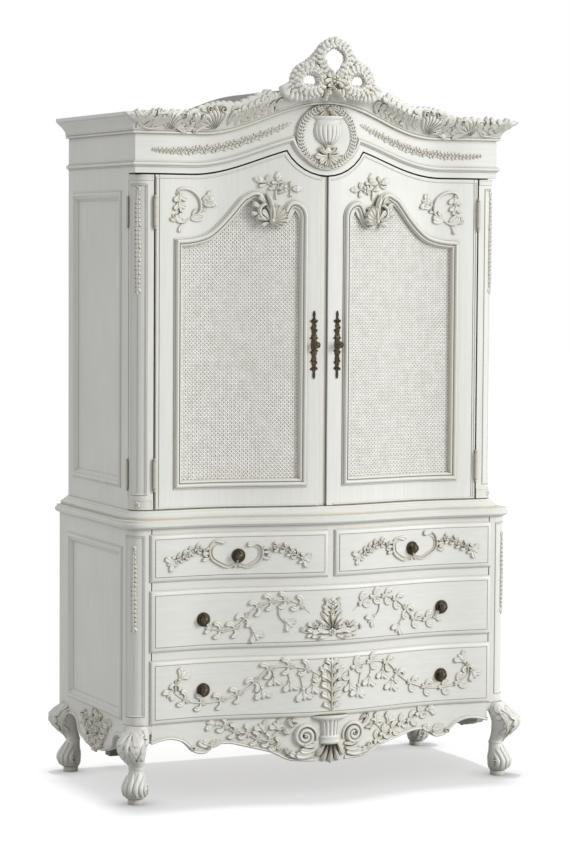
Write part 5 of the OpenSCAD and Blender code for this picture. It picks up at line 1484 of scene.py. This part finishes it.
for level in range(*s["rows"]):
    for x in range(-s["reach"], s["reach"] + 1, s["pitch"]):
        if abs(x) < s["half"] + (level - s["foot"]) * s["spread"]:
            dx, dz = (rng.uniform(-s["stray"], s["stray"]) for k in range(2))
            turn, spot = rng.uniform(0, 360), (x + dx, level + dz)
            if rng.random() < s["flowers"]:
                sideParts += flower(spot, 12, 10, 5, turn)
            else:
                sideParts += joint(*spot, turn, 27, 1, 10)
sideParts += tulips([(*place, 36) for place in sideApronSizes["bells"]], 12)
sideParts += both(curls([(x, z, -150, 40, -60) for x, z in sideApronSizes["climb"]], 12))


def onSideLower(v):
    return np.column_stack([lowerX + v[:, 2], sideMiddle - v[:, 0], v[:, 1]])


makePiece("side_apron_carving", both([(onSideLower(v), f) for v, f in sideParts]), "root", paintDeep)
print("side aprons: carved")

# Legs: a cabriole with an acanthus on its knee, a thin ankle and a ribbed foot.
# Its rings are (height over the pad, lean, front reach, side reach)
legSizes = {
    "rings": ((0, 1, 22, 22), (3, 2, 29, 29), (9, 3, 33, 33), (17, 4, 36, 36), (26, 5, 37.5, 37.5),
        (36, 5, 38, 38), (46, 3, 36, 36), (56, 1, 32, 32), (66, -2, 27.5, 28), (76, -5, 24, 25),
        (86, -7, 21.5, 23.5), (96, -6, 21.5, 23.5), (106, -1, 24, 26), (116, 6, 28, 29), (128, 13, 33, 33),
        (140, 19, 38, 37), (152, 23, 41, 40), (164, 23.5, 42, 42), (176, 20, 42, 43), (188, 12, 39, 42),
        (198, 4, 34, 39), (208, -4, 30, 36), (216, -9, 27, 33), (224, -12, 24, 30)), "around": 64,
    "ring": 92, "squareAt": (0, 50, 90, 150, 222), "square": (2.0, 2.0, 2.5, 2.7, 3.2),
    "kneeCurls": ((3, 208, -36, 46, -60), (3, 186, -42, 44, -60), (3, 163, -48, 38, -55),
        (3, 141, -54, 30, -50), (30, 214, -20, 36, -70)),
    "knee": ((26, 216), (46, 204), (56, 184), (52, 162), (38, 142), (24, 124), (14, 106)),
    "sideCurls": ((40, 206, -150, 34, 110), (54, 176, -120, 34, 60), (44, 150, -115, 30, 60),
        (56, 190, -60, 30, 70))}
legTable = smoothLine(legSizes["rings"], 4)


# A leg's surface: squarish at the knee, round at the foot; v is (round the leg from its front, height up,
# height over the surface)
def onLeg(v, angle=None):
    lean, deep, wide = (np.interp(v[:, 1], legTable[:, 0], legTable[:, k]) for k in (1, 2, 3))
    power = np.interp(v[:, 1], legSizes["squareAt"], legSizes["square"])
    a = v[:, 0] / ((deep + wide) / 2) if angle is None else angle
    r = (np.abs(np.cos(a) / deep) ** power + np.abs(np.sin(a) / wide) ** power) ** (-1 / power) + v[:, 2]
    return np.column_stack([lean + r * np.cos(a), r * np.sin(a), v[:, 1]])


def legParts(s):
    a = np.linspace(-math.pi, math.pi, s["around"], endpoint=False)
    swell = [2 * math.exp(-((up - s["ring"]) / 3) ** 2) for up in legTable[:, 0]]
    rings = [onLeg(np.column_stack([a, np.full(len(a), up), np.full(len(a), h)]), a)
        for up, h in zip(legTable[:, 0], swell)]
    carved = [leaf((0, 212), -90, 120, 18, 11, rows=14, full=0.4)]
    carved += both(curls(legSizes["kneeCurls"], 9))
    carved += [leaf((17.5 * k, 8), 90, 74 - 2.5 * k * k, 18, 6, rows=10, full=0.4, ribs=7)
        for k in range(-4, 5)]
    carved += both([stem(legSizes["knee"], 7, 5.5)])
    carved += both(curls(legSizes["sideCurls"], 6))
    carved += both(scroll((62, 30), 13, 1.5, 100, -1, 5, 6))
    return [loft(rings)] + [(onLeg(v), f) for v, f in carved]


# The block that a leg grows from: the corner post's own section carried down, and a plain block at the back
def cornerBlock(s, z0, z1):
    u = np.linspace(-s["front"] - 4, s["radius"] * math.pi / 2 + s["side"], 20)
    rings = []
    for level, h in ((z0, -3), (z0 + 4, 0), (z1 - 5, 0), (z1 - 4, -1.2), (z1 - 2.6, -1.2), (z1 - 1.4, 0.4),
            (z1, 0.4)):
        shape = onCorner(np.column_stack([u, np.full(20, level), np.full(20, h)]), s)
        rings.append(np.vstack([shape, [(s["half"] - 70, s["face"] + 60, level)]]))
    return loft(rings)


def backBlock(z0, z1):
    y1, y0, x1, x0 = backY, boxOf("side_aprons")[1].y, lowerX, lowerX - 60
    return loft([[(x0, y0, z), (x1 - e, y0, z), (x1 - e, y1 - e, z), (x0, y1 - e, z)]
            for z, e in ((z0, 3), (z0 + 3, 0), (z1, 0))])


padLow, padHigh = boxOf("foot_pads")
padRadius = 24
leg = legParts(legSizes)
blockFoot = baseZ - 30
for name, y, angle, block in (
        ("front_legs", padLow.y + padRadius, -45, cornerBlock(postSizes, blockFoot, baseZ)),
        ("back_legs", padHigh.y - padRadius, 0, backBlock(blockFoot, baseZ))):
    place = (padHigh.x - padRadius, y, padHigh.z)
    parts = [(turnedTo(v, place, math.radians(angle)), f) for v, f in leg] + [block]
    makePiece(name + "_carved", both(parts), "root", paintUpright, None, [name], sharp=50)
print("legs: carved")


# Studio: white floor and surroundings, soft light from the right, and a lamp overhead for the floor alone
studio = {
    "world": 0.66, "sun": 1.0, "sunAngle": 20, "sunFrom": (0.66, -0.62, 0.5), "window": 150,
    "windowPlace": (3.9, -4.4, 2.5), "windowAim": (0, 0, 1.2), "windowSize": (1.0, 3.2), "above": 2.6,
    "aboveAngle": 3, "aboveFrom": (0.027, 0.07, 1.0), "floor": "#959595", "floorGlow": 0.6,
    "contact": 90 * mm, "contactShade": 0.5, "floorSize": 60.0}


def addLamp(name, kind, energy, toward, place=(0, 0, 0), **settings):
    lamp = bpy.data.lights.new(name, kind)
    lamp.energy = energy
    for key, value in settings.items():
        setattr(lamp, key, value)
    thing = addThing(name, lamp)
    thing.location = place
    thing.rotation_euler = Vector(toward).to_track_quat("Z", "Y").to_euler()
    return thing


# 1 where the backdrop is seen by the camera, in a reflection or through something; 0 where it lights
def backdropRay(tree):
    path = addNode(tree, "ShaderNodeLightPath").outputs
    seen = maths(tree, "MAXIMUM", path["Is Camera Ray"], path["Is Glossy Ray"])
    return maths(tree, "MAXIMUM", seen, path["Is Transmission Ray"])


def lightStudio(s):
    world = bpy.data.worlds.new("studio")
    bpy.context.scene.world = world
    world.use_nodes = True
    tree = world.node_tree
    level = remap(tree, backdropRay(tree), 0.0, 1.0, s["world"], 1.0)
    giveInputs(tree, tree.nodes["Background"], {"Color": (1, 1, 1, 1), "Strength": level})
    width, height = s["windowSize"]
    toward = Vector(s["windowPlace"]) - Vector(s["windowAim"])
    window = addLamp("windowLight", "AREA", s["window"], toward, s["windowPlace"],
                     shape="RECTANGLE", size=width, size_y=height)
    key = addLamp("keyLight", "SUN", s["sun"], s["sunFrom"], angle=math.radians(s["sunAngle"]))
    above = addLamp("floorLight", "SUN", s["above"], s["aboveFrom"], angle=math.radians(s["aboveAngle"]))
    return window, key, above


# A little contact shadow is painted into the floor's colour and glow where something stands on it
def layFloor(s):
    mesh = bpy.data.meshes.new("studioFloor")
    h = s["floorSize"] / 2
    mesh.from_pydata([(-h, -h, 0), (h, -h, 0), (h, h, 0), (-h, h, 0)], [], [(0, 1, 2, 3)])
    floor = addThing("studioFloor", mesh)
    material, tree, shader = newMaterial("mattStudioFloor")[:3]
    shade = remap(tree, hollows(tree, s["contact"]), 0.3, 1.0, s["contactShade"], 1.0)
    glow = maths(tree, "MULTIPLY", backdropRay(tree), s["floorGlow"])
    giveInputs(tree, shader, {"Base Color": scaled(tree, hexColour(s["floor"])[:3], shade),
            "Roughness": 0.9, "Specular IOR Level": 0.0, "Emission Color": (1, 1, 1, 1),
            "Emission Strength": maths(tree, "MULTIPLY", glow, shade)})
    mesh.materials.append(material)
    return floor


window, key, above = lightStudio(studio)
floor = layFloor(studio)
for lamp, state in ((window, "EXCLUDE"), (key, "EXCLUDE"), (above, "INCLUDE")):
    shelf = bpy.data.collections.new(lamp.name + "Floor")
    shelf.objects.link(floor)
    lamp.light_linking.receiver_collection = shelf
    shelf.collection_objects[0].light_linking.link_state = state
bpy.context.scene.view_settings.view_transform = "Standard"
